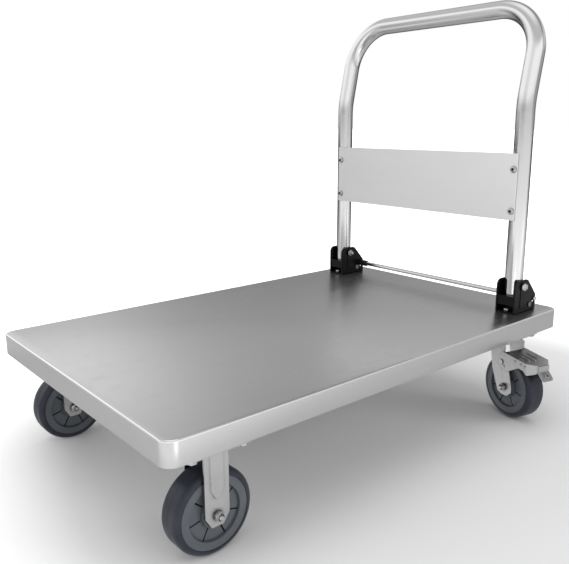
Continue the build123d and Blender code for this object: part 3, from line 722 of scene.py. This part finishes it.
def threads(name: str, centre: Vector, axis: Vector, radius: float, length: float,
            pitch: float = 1.25 * MM) -> Piece:
    """Threaded stud end: a row of ridges and a chamfered tip.

    Args:
        name: The piece's name.
        centre: Where the stud leaves its seat.
        axis: Unit direction it points in.
        radius: Outer radius.
        length: Length that stands out.
        pitch: Distance between ridges.

    Returns:
        The stud end.
    """
    core = radius - 0.6 * pitch
    outline = [(-pitch, 0), (-pitch, core)]
    for ridge in range(int((length - 0.8 * pitch) / pitch)):
        start = ridge * pitch
        outline += [(start, core), (start + pitch * 0.4, radius), (start + pitch * 0.55, radius)]
    tip = length - pitch * 0.6
    outline += [(tip, core + pitch * 0.1), (tip, core), (length, core * 0.8), (length, 0)]
    return lathe(name, outline, centre, axis, 24)


@dataclass
class SoftCopies:
    """Copies of pressings and castings with every edge sharper than the angle, in degrees, eased."""

    ease: float
    angle: float = 40.0

    def build(self, node: str, slot: Slot) -> None:
        """Copy one node, ease its edges and put it in the node's place.

        Args:
            node: CAD node to stand for.
            slot: Its material slot.
        """
        source = frame["nodes"][node]
        piece = bpy.data.objects.new(f"{node}_eased", source.data.copy())
        bpy.context.scene.collection.objects.link(piece)
        edit(piece)
        bpy.ops.mesh.customdata_custom_splitnormals_clear()
        bpy.ops.mesh.select_all(action="SELECT")
        bpy.ops.mesh.remove_doubles(threshold=0.000002)
        bpy.ops.mesh.dissolve_limited(angle_limit=math.radians(0.5))
        leave()
        modify(piece, "BEVEL", width=self.ease, segments=2, limit_method="ANGLE",
               angle_limit=math.radians(self.angle), use_clamp_overlap=True, miter_outer="MITER_SHARP")
        smooth(piece, 32)
        modify(piece, "WEIGHTED_NORMAL", mode="FACE_AREA", weight=50, keep_sharp=True)
        hand_over(piece, body_of_node(node), slot, [node])


@dataclass
class DeckTray:
    """Folded tray of satin sheet with rounded corners and an inward hem."""

    corner: float = 20 * MM
    fold: float = 3 * MM
    sheet: float = 1.5 * MM
    hem: float = 12 * MM

    def build(self) -> None:
        """Model the tray and put it in place of its solid."""
        low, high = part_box("deck_tray")
        size = high - low
        piece = add_primitive("deck_sheet", bpy.ops.mesh.primitive_cube_add, size=1, scale=size,
                              location=(low + high) / 2)
        edit(piece)
        pick("EDGE", piece, lambda edge: abs((edge.verts[0].co - edge.verts[1].co).z) > size.z / 2)
        bpy.ops.mesh.bevel(offset=self.corner, segments=12, affect="EDGES")
        top = high.z - MM / 10
        pick("EDGE", piece, lambda edge: all(vert.co.z > top for vert in edge.verts))
        bpy.ops.mesh.bevel(offset=self.fold, segments=5, affect="EDGES")
        bottom = low.z + MM / 10
        pick("FACE", piece, lambda face: face.calc_center_median().z < bottom)
        bpy.ops.mesh.inset(thickness=self.hem, depth=0)
        bpy.ops.mesh.delete(type="FACE")
        leave()
        modify(piece, "SOLIDIFY", thickness=self.sheet, offset=-1)
        modify(piece, "BEVEL", width=0.4 * MM, segments=2, limit_method="ANGLE",
               angle_limit=math.radians(50))
        smooth(piece, 30)
        hand_over(piece, "deck", Slot.DECK, ["deck_tray"])
        # The top folds get a painted highlight: a colour lighter than the deck's, with a burnished low roughness.
        folded = high.z - self.fold - MM / 5
        PAINT.accent(piece, BURNISHED_FOLD_WITH_PAINTED_HIGHLIGHT,
                     lambda face: face.center.z > folded and 0.1 < face.normal.z < 0.985)


@dataclass
class Handle:
    """Bent tube handle with its panel and screws."""

    radius: float = 17 * MM
    wall: float = 1.5 * MM
    kink_radius: float = 170 * MM
    corner_radius: float = 90 * MM
    lean_start: float = 605.7 * MM
    lean: float = math.radians(12.2)
    screw_head: float = 6.3 * MM
    screw_rise: float = 3.4 * MM
    screw_rim: float = 0.7 * MM
    screw_dome: float = 2.6 * MM
    socket_edge: tuple = ((1.2, 2.6), (1.0, 0.0))
    # Outline of the black piece in each socket, painted shade in the recess, in millimetres.
    socket_floor: tuple = ((1.1, 0.0), (1.1, 2.55), (2.2, 2.65), (1.4, 2.2), (1.3, 0.0))

    def build(self) -> None:
        """Model every piece of the handle."""
        self.build_tube()
        self.build_screws()
        SoftCopies(0.35 * MM, 50).build("back_panel", Slot.PANEL)

    def build_tube(self) -> None:
        """Draw one leg's ring up the leg, round the bends and along the bar, then mirror it."""
        low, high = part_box("handle_tube")
        leg = Vector((high.x - self.radius, high.y - self.radius, low.z))
        bar_z = high.z - self.radius
        piece = add_primitive("bent_tube", bpy.ops.mesh.primitive_circle_add, vertices=48,
                              radius=self.radius, location=leg)
        lean_way = Vector((-math.sin(self.lean), 0, math.cos(self.lean)))
        kink_run = self.kink_radius * math.tan(self.lean / 2)
        kink_start = self.lean_start - kink_run
        leaning_run = (bar_z - self.lean_start) / math.cos(self.lean) - kink_run - self.corner_radius
        kink_end = Vector((leg.x, leg.y, self.lean_start)) + lean_way * kink_run
        corner_start = kink_end + lean_way * leaning_run
        edit(piece, "SELECT")
        bpy.ops.mesh.extrude_edges_move(TRANSFORM_OT_translate={"value": (0, 0, kink_start - leg.z)})
        bpy.ops.mesh.spin(steps=14, angle=self.lean, center=(leg.x - self.kink_radius, leg.y, kink_start),
                          axis=ACROSS)
        bpy.ops.mesh.extrude_edges_move(TRANSFORM_OT_translate={"value": lean_way * leaning_run})
        bpy.ops.mesh.spin(steps=28, angle=math.pi / 2, center=corner_start - ACROSS * self.corner_radius,
                          axis=ACROSS.cross(-lean_way))
        bar_start = leg.y - self.corner_radius
        bpy.ops.mesh.extrude_edges_move(TRANSFORM_OT_translate={"value": (0, -bar_start, 0)})
        leave()
        modify(piece, "MIRROR", use_axis=(False, True, False), merge_threshold=0.00001)
        recalculate(piece)
        modify(piece, "SOLIDIFY", thickness=self.wall, offset=-1)
        smooth(piece, 40)
        hand_over(piece, "handle", Slot.HANDLE, ["handle_tube"])

    def build_screws(self) -> None:
        """Button heads with hexagon sockets and a thin washer rim each, and a black hexagon piece in each socket
        as painted shade.
        """
        low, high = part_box("panel_screws")
        head = high.x
        seat = head - self.screw_rise
        heads, socket_shades = [], []
        for side in Side:
            for z in (low.z + self.screw_head, high.z - self.screw_head):
                centre = Vector((seat, side.value * (high.y - self.screw_head), z))
                dome = (self.screw_rim, self.screw_head - self.screw_dome)
                outline = [(0, 0), (0, self.screw_head), (self.screw_rim, self.screw_head)]
                outline += arc(dome, self.screw_dome, 90, 20, 5)
                outline += [(self.screw_rise, 2.7 * MM), *in_mm(self.socket_edge)]
                heads.append(lathe("screw_head", outline, centre, FORWARD, 30))
                # Painted shade: a black hexagon piece sits in the socket's recess.
                socket_shades.append(lathe("socket", in_mm(self.socket_floor), centre, FORWARD, 6))
        hand_over(join("panel_button_screws", heads), "handle", Slot.HARDWARE, ["panel_screws"])
        hand_over(join("panel_screw_sockets", socket_shades), "handle", Slot.COLLAR)


@dataclass
class Wheel:
    """Solid tyre on a moulded hub, with two sealed bearings."""

    corner: str
    side: Side
    tread: float = 62.5 * MM
    width: float = 40 * MM
    shoulder: float = 9 * MM
    bore: float = 52.55 * MM
    hub_end: float = 21.6 * MM
    seal: tuple = ((-8, 6.1), (-0.2, 6.1), (0, 6.3), (0, 8.2), (-0.7, 8.4), (-0.7, 11.6), (0, 11.8),
                   (0, 13.8), (-0.2, 14), (-8, 14), (-8, 6.1))

    def __post_init__(self) -> None:
        """Find the wheel's centre and outward axle direction from its joint."""
        self.name = f"{self.corner}_{self.side.word}"
        self.body = f"{self.name}_wheel"
        joint = JOINTS[f"{self.body}_spin"]
        self.centre = Vector(joint["pos_m"])
        self.axis = Vector(joint["axis"]).normalized()

    def build(self) -> None:
        """Model the tyre and bearings and ease the hub."""
        self.build_tyre()
        self.build_bearings()
        SoftCopies(0.35 * MM).build(f"{self.name}_hub", Slot.HUB)

    def build_tyre(self) -> None:
        """Tyre with round shoulders, a mould line round the tread and a stepped side wall."""
        half, rim = self.width / 2, self.tread - self.shoulder
        line = 0.25 * MM
        right = [(0.0, self.tread - line), (0.5 * MM, self.tread - line), (0.8 * MM, self.tread)]
        right += arc((half - self.shoulder, rim), self.shoulder, 90, 8, 9)
        right += [(half, rim - 0.4 * MM), (half - 0.7 * MM, rim - 0.5 * MM), (half - 0.7 * MM, self.bore)]
        left = [(-along, radius) for along, radius in reversed(right[1:])]
        tyre = lathe(f"{self.name}_tyre_body", [*left, *right, left[0]], self.centre, self.axis, 96)
        hand_over(tyre, self.body, Slot.TREAD, [f"{self.name}_tyre"])

    def build_bearings(self) -> None:
        """Bearing rings with a sunk dust seal at both ends of the hub."""
        rings = [lathe("ring", in_mm(self.seal), self.centre + way * self.hub_end, way, 48)
                 for way in (self.axis, -self.axis)]
        hand_over(join(f"{self.name}_sealed_bearings", rings), self.body, Slot.BEARING,
                  [f"{self.name}_bearings"])


@dataclass
class Fasteners:
    """Hexagon bolts with threaded ends, and lock nuts with their inserts."""

    flats: float = 13 * MM
    head: float = 5.3 * MM
    lock_nut: float = 8 * MM
    hexagon_share: float = 0.74
    crown: float = 5.9 * MM
    crown_outline: tuple = ((0, 0), (0, 1), (0.8, 1), (0.93, 0.96), (1, 0.84), (0.95, 0.82), (0.95, 0))
    stud: float = 4 * MM
    stand_out: float = 2.5 * MM
    pattern_x: float = 40 * MM
    pattern_y: float = 30 * MM
    fork_half: float = 25.6 * MM
    ear_half: float = 21.5 * MM
    threaded: float = 14 * MM
    caster_turn: float = 37.0
    bracket_turn: float = 13.0
    nut_turn: float = 17.0

    def bolt(self, seat: Vector, way: Vector, grip: float, turn: float) -> list[Piece]:
        """One bolt: hexagon head and a shank that is threaded to its tip.

        Args:
            seat: Middle of the face under the head.
            way: Unit direction from the seat to the head.
            grip: Distance from the seat to the tip.
            turn: Turn of the hexagon in degrees.

        Returns:
            The head and the shank.
        """
        threaded = min(self.threaded, grip)
        shank_end = seat - way * (grip - threaded)
        parts = [hex_prism("hex", seat, way, self.flats, self.head, turn),
                 threads("thread", shank_end, -way, self.stud, threaded)]
        if grip > threaded:
            outline = [(0, 0), (0, self.stud), (grip - threaded, self.stud), (grip - threaded, 0)]
            parts.append(lathe("shank", outline, seat, -way, 24))
        return parts

    def lock_nuts(self, name: str, seats: Sequence[tuple[Vector, Vector]], body: str,
                  stands_for: Sequence[str]) -> None:
        """Lock nuts with a round crown and a black insert ring.

        Args:
            name: Start of the pieces' names.
            seats: Pairs of seat and outward direction.
            body: The CAD body.
            stands_for: CAD nodes that the nuts replace.
        """
        nuts, inserts = [], []
        rise, insert = self.lock_nut, self.crown * 0.81
        crown = [(rise * along, self.crown * radius) for along, radius in self.crown_outline]
        ring = [(rise * 0.9, 0), (rise * 0.9, insert), (rise * 0.985, insert), (rise * 0.985, self.stud),
                (rise * 0.96, self.stud), (rise * 0.96, 0)]
        for number, (seat, way) in enumerate(seats):
            turn = number * self.nut_turn
            nuts.append(hex_prism("nut", seat, way, self.flats, rise * self.hexagon_share, turn))
            nuts.append(lathe("crown", crown, seat, way, 32))
            inserts.append(lathe("insert", ring, seat, way, 32))
        hand_over(join(name, nuts), body, Slot.HARDWARE, stands_for)
        hand_over(join(f"{name}_inserts", inserts), body, Slot.COLLAR)

    def build(self) -> None:
        """Model every bolt and nut that shows."""
        self.build_caster_bolts()
        self.build_bracket_bolts()
        self.build_pivots()
        self.build_axles()

    def build_caster_bolts(self) -> None:
        """Four bolts up through each caster plate."""
        low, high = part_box("caster_bolts")
        seat = low.z + self.head
        centres = [Vector(joint["pos_m"]) for name, joint in JOINTS.items()
                   if name.endswith("swivel_turn") or name.startswith("front")]
        parts = []
        for centre in centres:
            for dx in (-self.pattern_x, self.pattern_x):
                for dy in (-self.pattern_y, self.pattern_y):
                    place = Vector((centre.x + dx, centre.y + dy, seat))
                    parts += self.bolt(place, -UP, high.z - seat, self.caster_turn * len(parts))
        hand_over(join("caster_bolts_threaded", parts), "deck", Slot.HARDWARE, ["caster_bolts"])

    def build_bracket_bolts(self) -> None:
        """Two bolts down through each hinge bracket."""
        low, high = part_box("bracket_bolts")
        reach = self.flats / math.sqrt(3)
        seat = high.z - self.head
        parts = []
        for side in Side:
            for x in (low.x + reach, high.x - reach):
                place = Vector((x, side.value * (high.y - self.flats / 2), seat))
                parts += self.bolt(place, UP, seat - low.z, 90.0 + self.bracket_turn * len(parts))
        hand_over(join("bracket_bolts_threaded", parts), "deck", Slot.HARDWARE, ["bracket_bolts"])

    def build_pivots(self) -> None:
        """Pivot bolts with lock nuts on the inner ears."""
        pivot = Vector(JOINTS["handle_fold"]["pos_m"])
        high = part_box("pivot_bolts")[1]
        outer = high.y - self.head
        inner = outer - 2 * self.ear_half
        parts, seats = [], []
        for side in Side:
            way = ACROSS * side.value
            grip = outer - inner + self.lock_nut + self.stand_out
            parts += self.bolt(pivot + way * outer, way, grip, 20.0)
            seats.append((pivot + way * inner, -way))
        hand_over(join("pivot_bolts_threaded", parts), "deck", Slot.HARDWARE, ["pivot_bolts"])
        self.lock_nuts("pivot_lock_nuts", seats, "deck", ["pivot_nuts"])

    def build_axles(self) -> None:
        """Axle bolts and lock nuts of all four wheels."""
        grip = 2 * self.fork_half + self.lock_nut + self.stand_out
        front_bolts, front_seats = [], []
        for side in Side:
            for corner in ("front", "rear"):
                wheel = Wheel(corner, side)
                way = wheel.axis if corner == "front" else wheel.axis * math.copysign(1, wheel.axis.x)
                bolt = self.bolt(wheel.centre - way * self.fork_half, -way, grip, 15.0)
                seat = (wheel.centre + way * self.fork_half, way)
                if corner == "front":
                    front_bolts += bolt
                    front_seats.append(seat)
                else:
                    name = f"rear_{side.word}_axle"
                    body = f"rear_{side.word}_swivel"
                    hand_over(join(f"{name}_bolt", bolt), body, Slot.HARDWARE, [f"{name}_fasteners"])
                    self.lock_nuts(f"{name}_lock_nut", [seat], body, ())
        hand_over(join("front_axle_bolts_threaded", front_bolts), "deck", Slot.HARDWARE,
                  ["front_axle_bolts"])
        self.lock_nuts("front_axle_lock_nuts", front_seats, "deck", ["front_axle_nuts"])


@dataclass
class BrakeDetails:
    """Rivets, pressed beads and screw of one brake pedal, and a black ring at the swivel's gap."""

    side: Side
    cheek: float = 27.9 * MM
    rivet: float = 2.4 * MM
    rivet_places: tuple = ((30.0, 105.1), (57.7, 124.0), (73.0, 122.5), (83.6, 121.0))
    bead_start: float = 44 * MM
    bead_end: float = 84 * MM
    bead_width: float = 5 * MM
    bead_rise: float = 1.6 * MM
    bead_round: float = 2.45 * MM
    bead_crown: float = 0.9 * MM
    beads: tuple = ((-12 * MM, 0.8), (0.0, 1.0), (12 * MM, 0.8))
    slope: float = 6.5 / 73.0
    top_height: float = 133 * MM
    mouth: float = 28 * MM
    tab_seat: tuple = (110.4 * MM, 0, 107.2 * MM)
    boss: tuple = ((0, 0), (0, 7.5), (0.8, 7), (0.9, 4.5), (2.4, 4.2), (2.9, 3.6), (2.9, 2), (1.2, 1.9),
                   (1.2, 0))
    dust_ring: tuple = ((153.4, 30.2), (153.4, 31.2), (153.9, 31.7), (155.8, 31.7), (156.3, 31.2),
                        (156.3, 30.2), (153.4, 30.2))

    def __post_init__(self) -> None:
        """Find the caster's swivel axis and trailing direction from the joints."""
        name = f"rear_{self.side.word}"
        self.swivel = Vector(JOINTS[f"{name}_swivel_turn"]["pos_m"])
        self.swivel.z = 0
        axle = Vector(JOINTS[f"{name}_wheel_spin"]["axis"]).normalized()
        self.trail = axle.cross(UP).normalized()
        self.level = axle
        self.body = f"{name}_brake"
        self.name = name

    def place(self, along: float, off: float, up: float) -> Vector:
        """A point by its distance along the trail, off the wheel's plane and above the floor."""
        return self.swivel + self.trail * along + self.level * off + UP * up

    def build(self) -> None:
        """Model the details."""
        self.build_rivets()
        self.build_beads()
        self.build_tab_screw()
        self.build_dust_ring()

    def build_rivets(self) -> None:
        """Domed rivets on both cheeks."""
        heads = []
        dome = [(0, 0), (0, self.rivet), (0.5 * MM, self.rivet * 0.95), (1.0 * MM, self.rivet * 0.7),
                (1.3 * MM, self.rivet * 0.3), (1.35 * MM, 0)]
        for along, up in self.rivet_places:
            for way in (-1, 1):
                seat = self.place(along * MM, way * self.cheek, up * MM)
                heads.append(lathe("rivet", dome, seat, self.level * way, 20))
        hand_over(join(f"{self.name}_pedal_rivets", heads), self.body, Slot.HARDWARE)

    def build_beads(self) -> None:
        """Three pressed beads that stiffen the pedal's top."""
        beads = []
        length = self.bead_end - self.bead_start
        for off, scale in self.beads:
            bead = add_primitive("bead", bpy.ops.mesh.primitive_cube_add, size=1,
                                 scale=(length * scale, self.bead_width, self.bead_rise))
            edit(bead)
            pick("EDGE", bead, lambda edge: abs((edge.verts[0].co - edge.verts[1].co).z) > MM)
            bpy.ops.mesh.bevel(offset=self.bead_round, segments=6, affect="EDGES")
            pick("EDGE", bead, lambda edge: all(vert.co.z > 0.7 * MM for vert in edge.verts))
            bpy.ops.mesh.bevel(offset=self.bead_crown, segments=3, affect="EDGES")
            leave()
            middle = (self.bead_start + self.bead_end) / 2
            height = self.top_height - self.slope * (middle - self.mouth)
            lengthwise = (self.trail - UP * self.slope).normalized()
            upright = lengthwise.cross(self.level).normalized()
            upright = upright if upright.z > 0 else -upright
            turn = Matrix((lengthwise, upright.cross(lengthwise), upright)).transposed().to_4x4()
            bead.data.transform(Matrix.Translation(self.place(middle, off, height)) @ turn)
            smooth(bead, 40)
            beads.append(bead)
        hand_over(join(f"{self.name}_pedal_beads", beads), self.body, Slot.PRESSING)

    def build_tab_screw(self) -> None:
        """Raised boss and socket screw on the sloping toe tab."""
        way = (self.trail + UP).normalized()
        boss = lathe(f"{self.name}_tab_screw", in_mm(self.boss), self.place(*self.tab_seat), way, 32)
        hand_over(boss, self.body, Slot.HARDWARE)

    def build_dust_ring(self) -> None:
        """Black ring over the gap between the swivel's races."""
        ring = lathe(f"{self.name}_dust_ring", in_mm(self.dust_ring), self.swivel, UP, 64)
        hand_over(ring, "deck", Slot.COLLAR)


@dataclass
class Studio:
    """Camera, pale floor, softboxes and surroundings."""

    camera_place: Point = (0.810143, 0.931054, 0.572503)
    yaw: float = -129.927
    pitch: float = -12.501
    roll: float = -0.300
    lens: float = 42.77
    shift: tuple[float, float] = (0.0036, -0.0180)
    floor_stops: tuple = ((-2.0, 0.07), (-0.8, 0.36), (0.0, 0.50), (0.42, 0.57), (0.75, 0.92), (1.5, 0.86))
    floor_way: Point = (0.64, 0.77, 0.0)
    floor_lift: float = 0.36
    shadow_centre: Point = (-0.14, 0.18, 0.0)
    glow_stops: tuple = ((0.3, 0.0), (0.62, 0.05), (0.80, 0.42), (1.0, 0.85), (1.5, 1.0), (2.5, 1.0))
    floor_spots: tuple = ((0.41, 0.92, 0.15, 1.7, 0.36), (0.40, -1.05, 0.40, 0.35, 1.0),
                          (-0.28, -0.02, 0.30, 0.55, 1.0))
    height_stops: tuple = ((-0.1, 0.50), (0.12, 0.60), (0.26, 0.96), (0.47, 0.98), (0.64, 0.50),
                           (0.86, 0.55), (1.0, 0.95))
    flag_way: Point = (-0.8, -0.6, 0.0)
    flag_stops: tuple = ((-1.0, 1.0), (0.5, 1.0), (0.82, 0.22), (1.0, 0.22))
    flag_heights: tuple = ((-1.0, 0.0), (0.03, 0.0), (0.19, 1.0), (1.0, 1.0))
    depth_stops: tuple = ((-0.95, 0.94), (-0.72, 0.92), (-0.62, 0.72), (-0.50, 0.84), (-0.36, 1.65),
                          (0.78, 1.6), (1.0, 1.05))
    light_target: Point = (0.0, 0.0, 0.3)
    softboxes: tuple = (("overhead", (0.3, 0.2, 3.2), 3.0, 25.0),
                        ("left_softbox", (-1.8, 2.6, 1.4), 1.2, 22.0),
                        ("front_softbox", (3.2, -0.6, 1.6), 1.6, 12.0))

    def build(self) -> None:
        """Set up everything round the object."""
        self.build_camera()
        self.build_floor()
        self.build_world()
        self.build_lights()
        bpy.context.scene.view_settings.view_transform = "Standard"

    def build_camera(self) -> None:
        """Camera by its place, the way it looks and its roll."""
        yaw, pitch, roll = (math.radians(a) for a in (self.yaw, self.pitch, self.roll))
        ahead = Vector((math.cos(pitch) * math.cos(yaw), math.cos(pitch) * math.sin(yaw), math.sin(pitch)))
        right = ahead.cross(UP).normalized()
        above = right.cross(ahead)
        turned_right = right * math.cos(roll) + above * math.sin(roll)
        turned_above = above * math.cos(roll) - right * math.sin(roll)
        data = bpy.data.cameras.new("camera")
        data.lens = self.lens
        data.shift_x, data.shift_y = self.shift
        camera = bpy.data.objects.new("camera", data)
        turn = Matrix((turned_right, turned_above, -ahead)).transposed().to_4x4()
        camera.matrix_world = Matrix.Translation(self.camera_place) @ turn
        bpy.context.scene.collection.objects.link(camera)
        bpy.context.scene.camera = camera

    def build_floor(self) -> None:
        """Wide pale floor with painted light: a glow makes it white to the eye away from the truck; reflections
        see painted shade behind it, an even painted glow and painted glow spots.
        """
        floor = add_primitive("floor", bpy.ops.mesh.primitive_plane_add, size=80)
        book = NodeBook("pale_floor")
        book.feed("Base Color", book.tint(book.noise(0.8), (0.73, 0.73, 0.73), (0.75, 0.75, 0.75)))
        book.shader.inputs["Roughness"].default_value = 0.7
        book.shader.inputs["Specular IOR Level"].default_value = 0.1
        book.shader.inputs["Emission Color"].default_value = (1, 1, 1, 1)
        # Painted light: the floor glows more the further it lies from the truck, which leaves it darker round the
        # truck.
        away = book.against(self.shadow_centre, "DISTANCE")
        book.feed("Emission Strength", book.graded(away, self.glow_stops))
        mirrored = book.new("BsdfPrincipled")
        mirrored.inputs["Roughness"].default_value = 1.0
        mirrored.inputs["Specular IOR Level"].default_value = 0.0
        mirrored.inputs["Emission Strength"].default_value = self.floor_lift
        # Painted shade and glow seen only in reflections: darker behind the truck, lifted by an even glow.
        shade = book.graded(book.against(self.floor_way, "DOT_PRODUCT"), self.floor_stops)
        book.links.new(shade, mirrored.inputs["Base Color"])
        # Painted highlights: glowing spots on the floor that show as highlights in the deck's corner and other
        # metal.
        glow = shade
        for x, y, reach, strength, squeeze in self.floor_spots:
            apart = book.against((x, y * squeeze, 0.0), "DISTANCE", book.stretched((1.0, squeeze, 1.0)))
            glow = book.mix(glow, book.between(apart, strength / self.floor_lift, 0.0, reach * 0.5, reach))
        book.links.new(glow, mirrored.inputs["Emission Color"])
        book.by_camera(mirrored.outputs["BSDF"], book.shader.outputs["BSDF"], "Material Output")
        floor.data.materials.append(book.material)

    def build_world(self) -> None:
        """White surroundings to the camera, and a softly graded room to reflections."""
        world = bpy.data.worlds.new("surroundings")
        bpy.context.scene.world = world
        world.use_nodes = True
        room = NodeTree(world.node_tree, "Generated")
        height = room.against(tuple(UP), "DOT_PRODUCT")
        ahead = room.against(tuple(FORWARD), "DOT_PRODUCT")
        light = room.mix(room.graded(height, self.height_stops), room.graded(ahead, self.depth_stops),
                         "MULTIPLY")
        flag = room.mix(room.graded(room.against(self.flag_way, "DOT_PRODUCT"), self.flag_stops),
                        room.graded(height, self.flag_heights), "MAXIMUM")
        mirrored = room.new("Background")
        room.links.new(room.mix(light, flag, "MULTIPLY"), mirrored.inputs["Strength"])
        seen = room.nodes["Background"]
        seen.inputs["Color"].default_value = (1, 1, 1, 1)
        room.by_camera(mirrored.outputs["Background"], seen.outputs["Background"], "World Output")

    def build_lights(self) -> None:
        """Softboxes above and to the sides, unseen by the camera."""
        for name, place, size, power in self.softboxes:
            data = bpy.data.lights.new(name, "AREA")
            data.size = size
            data.energy = power
            light = bpy.data.objects.new(name, data)
            light.location = place
            light.rotation_mode = "QUATERNION"
            light.rotation_quaternion = (Vector(self.light_target) - Vector(place)).to_track_quat("-Z", "Y")
            light.visible_camera = False
            light.visible_glossy = False
            bpy.context.scene.collection.objects.link(light)


EASED = {
    "front_{}_fork": Slot.PRESSING,
    "rear_{}_fork": Slot.PRESSING,
    "rear_{}_brake_pedal": Slot.PRESSING,
    "rear_{}_pedal_tab": Slot.PRESSING,
    "{}_hinge_bracket": Slot.POWDER,
}


def dress_remaining() -> None:
    """Give every CAD node that is still shown the material of its slot."""
    slots = {entry["node"]: Slot(entry["material_slot"]) for entry in frame["record"]["subparts"]}
    for node, piece in frame["nodes"].items():
        if not piece.hide_render:
            PAINT.coat(piece, slots[node])


def main() -> None:
    """Build the truck's looks, sub-assembly by sub-assembly."""
    DeckTray().build()
    Handle().build()
    for corner in ("front", "rear"):
        for side in Side:
            Wheel(corner, side).build()
    Fasteners().build()
    for side in Side:
        BrakeDetails(side).build()
    pressings = SoftCopies(0.3 * MM)
    for pattern, slot in EASED.items():
        for side in Side:
            pressings.build(pattern.format(side.word), slot)
    dress_remaining()
    Studio().build()


if __name__ == "__main__":
    main()
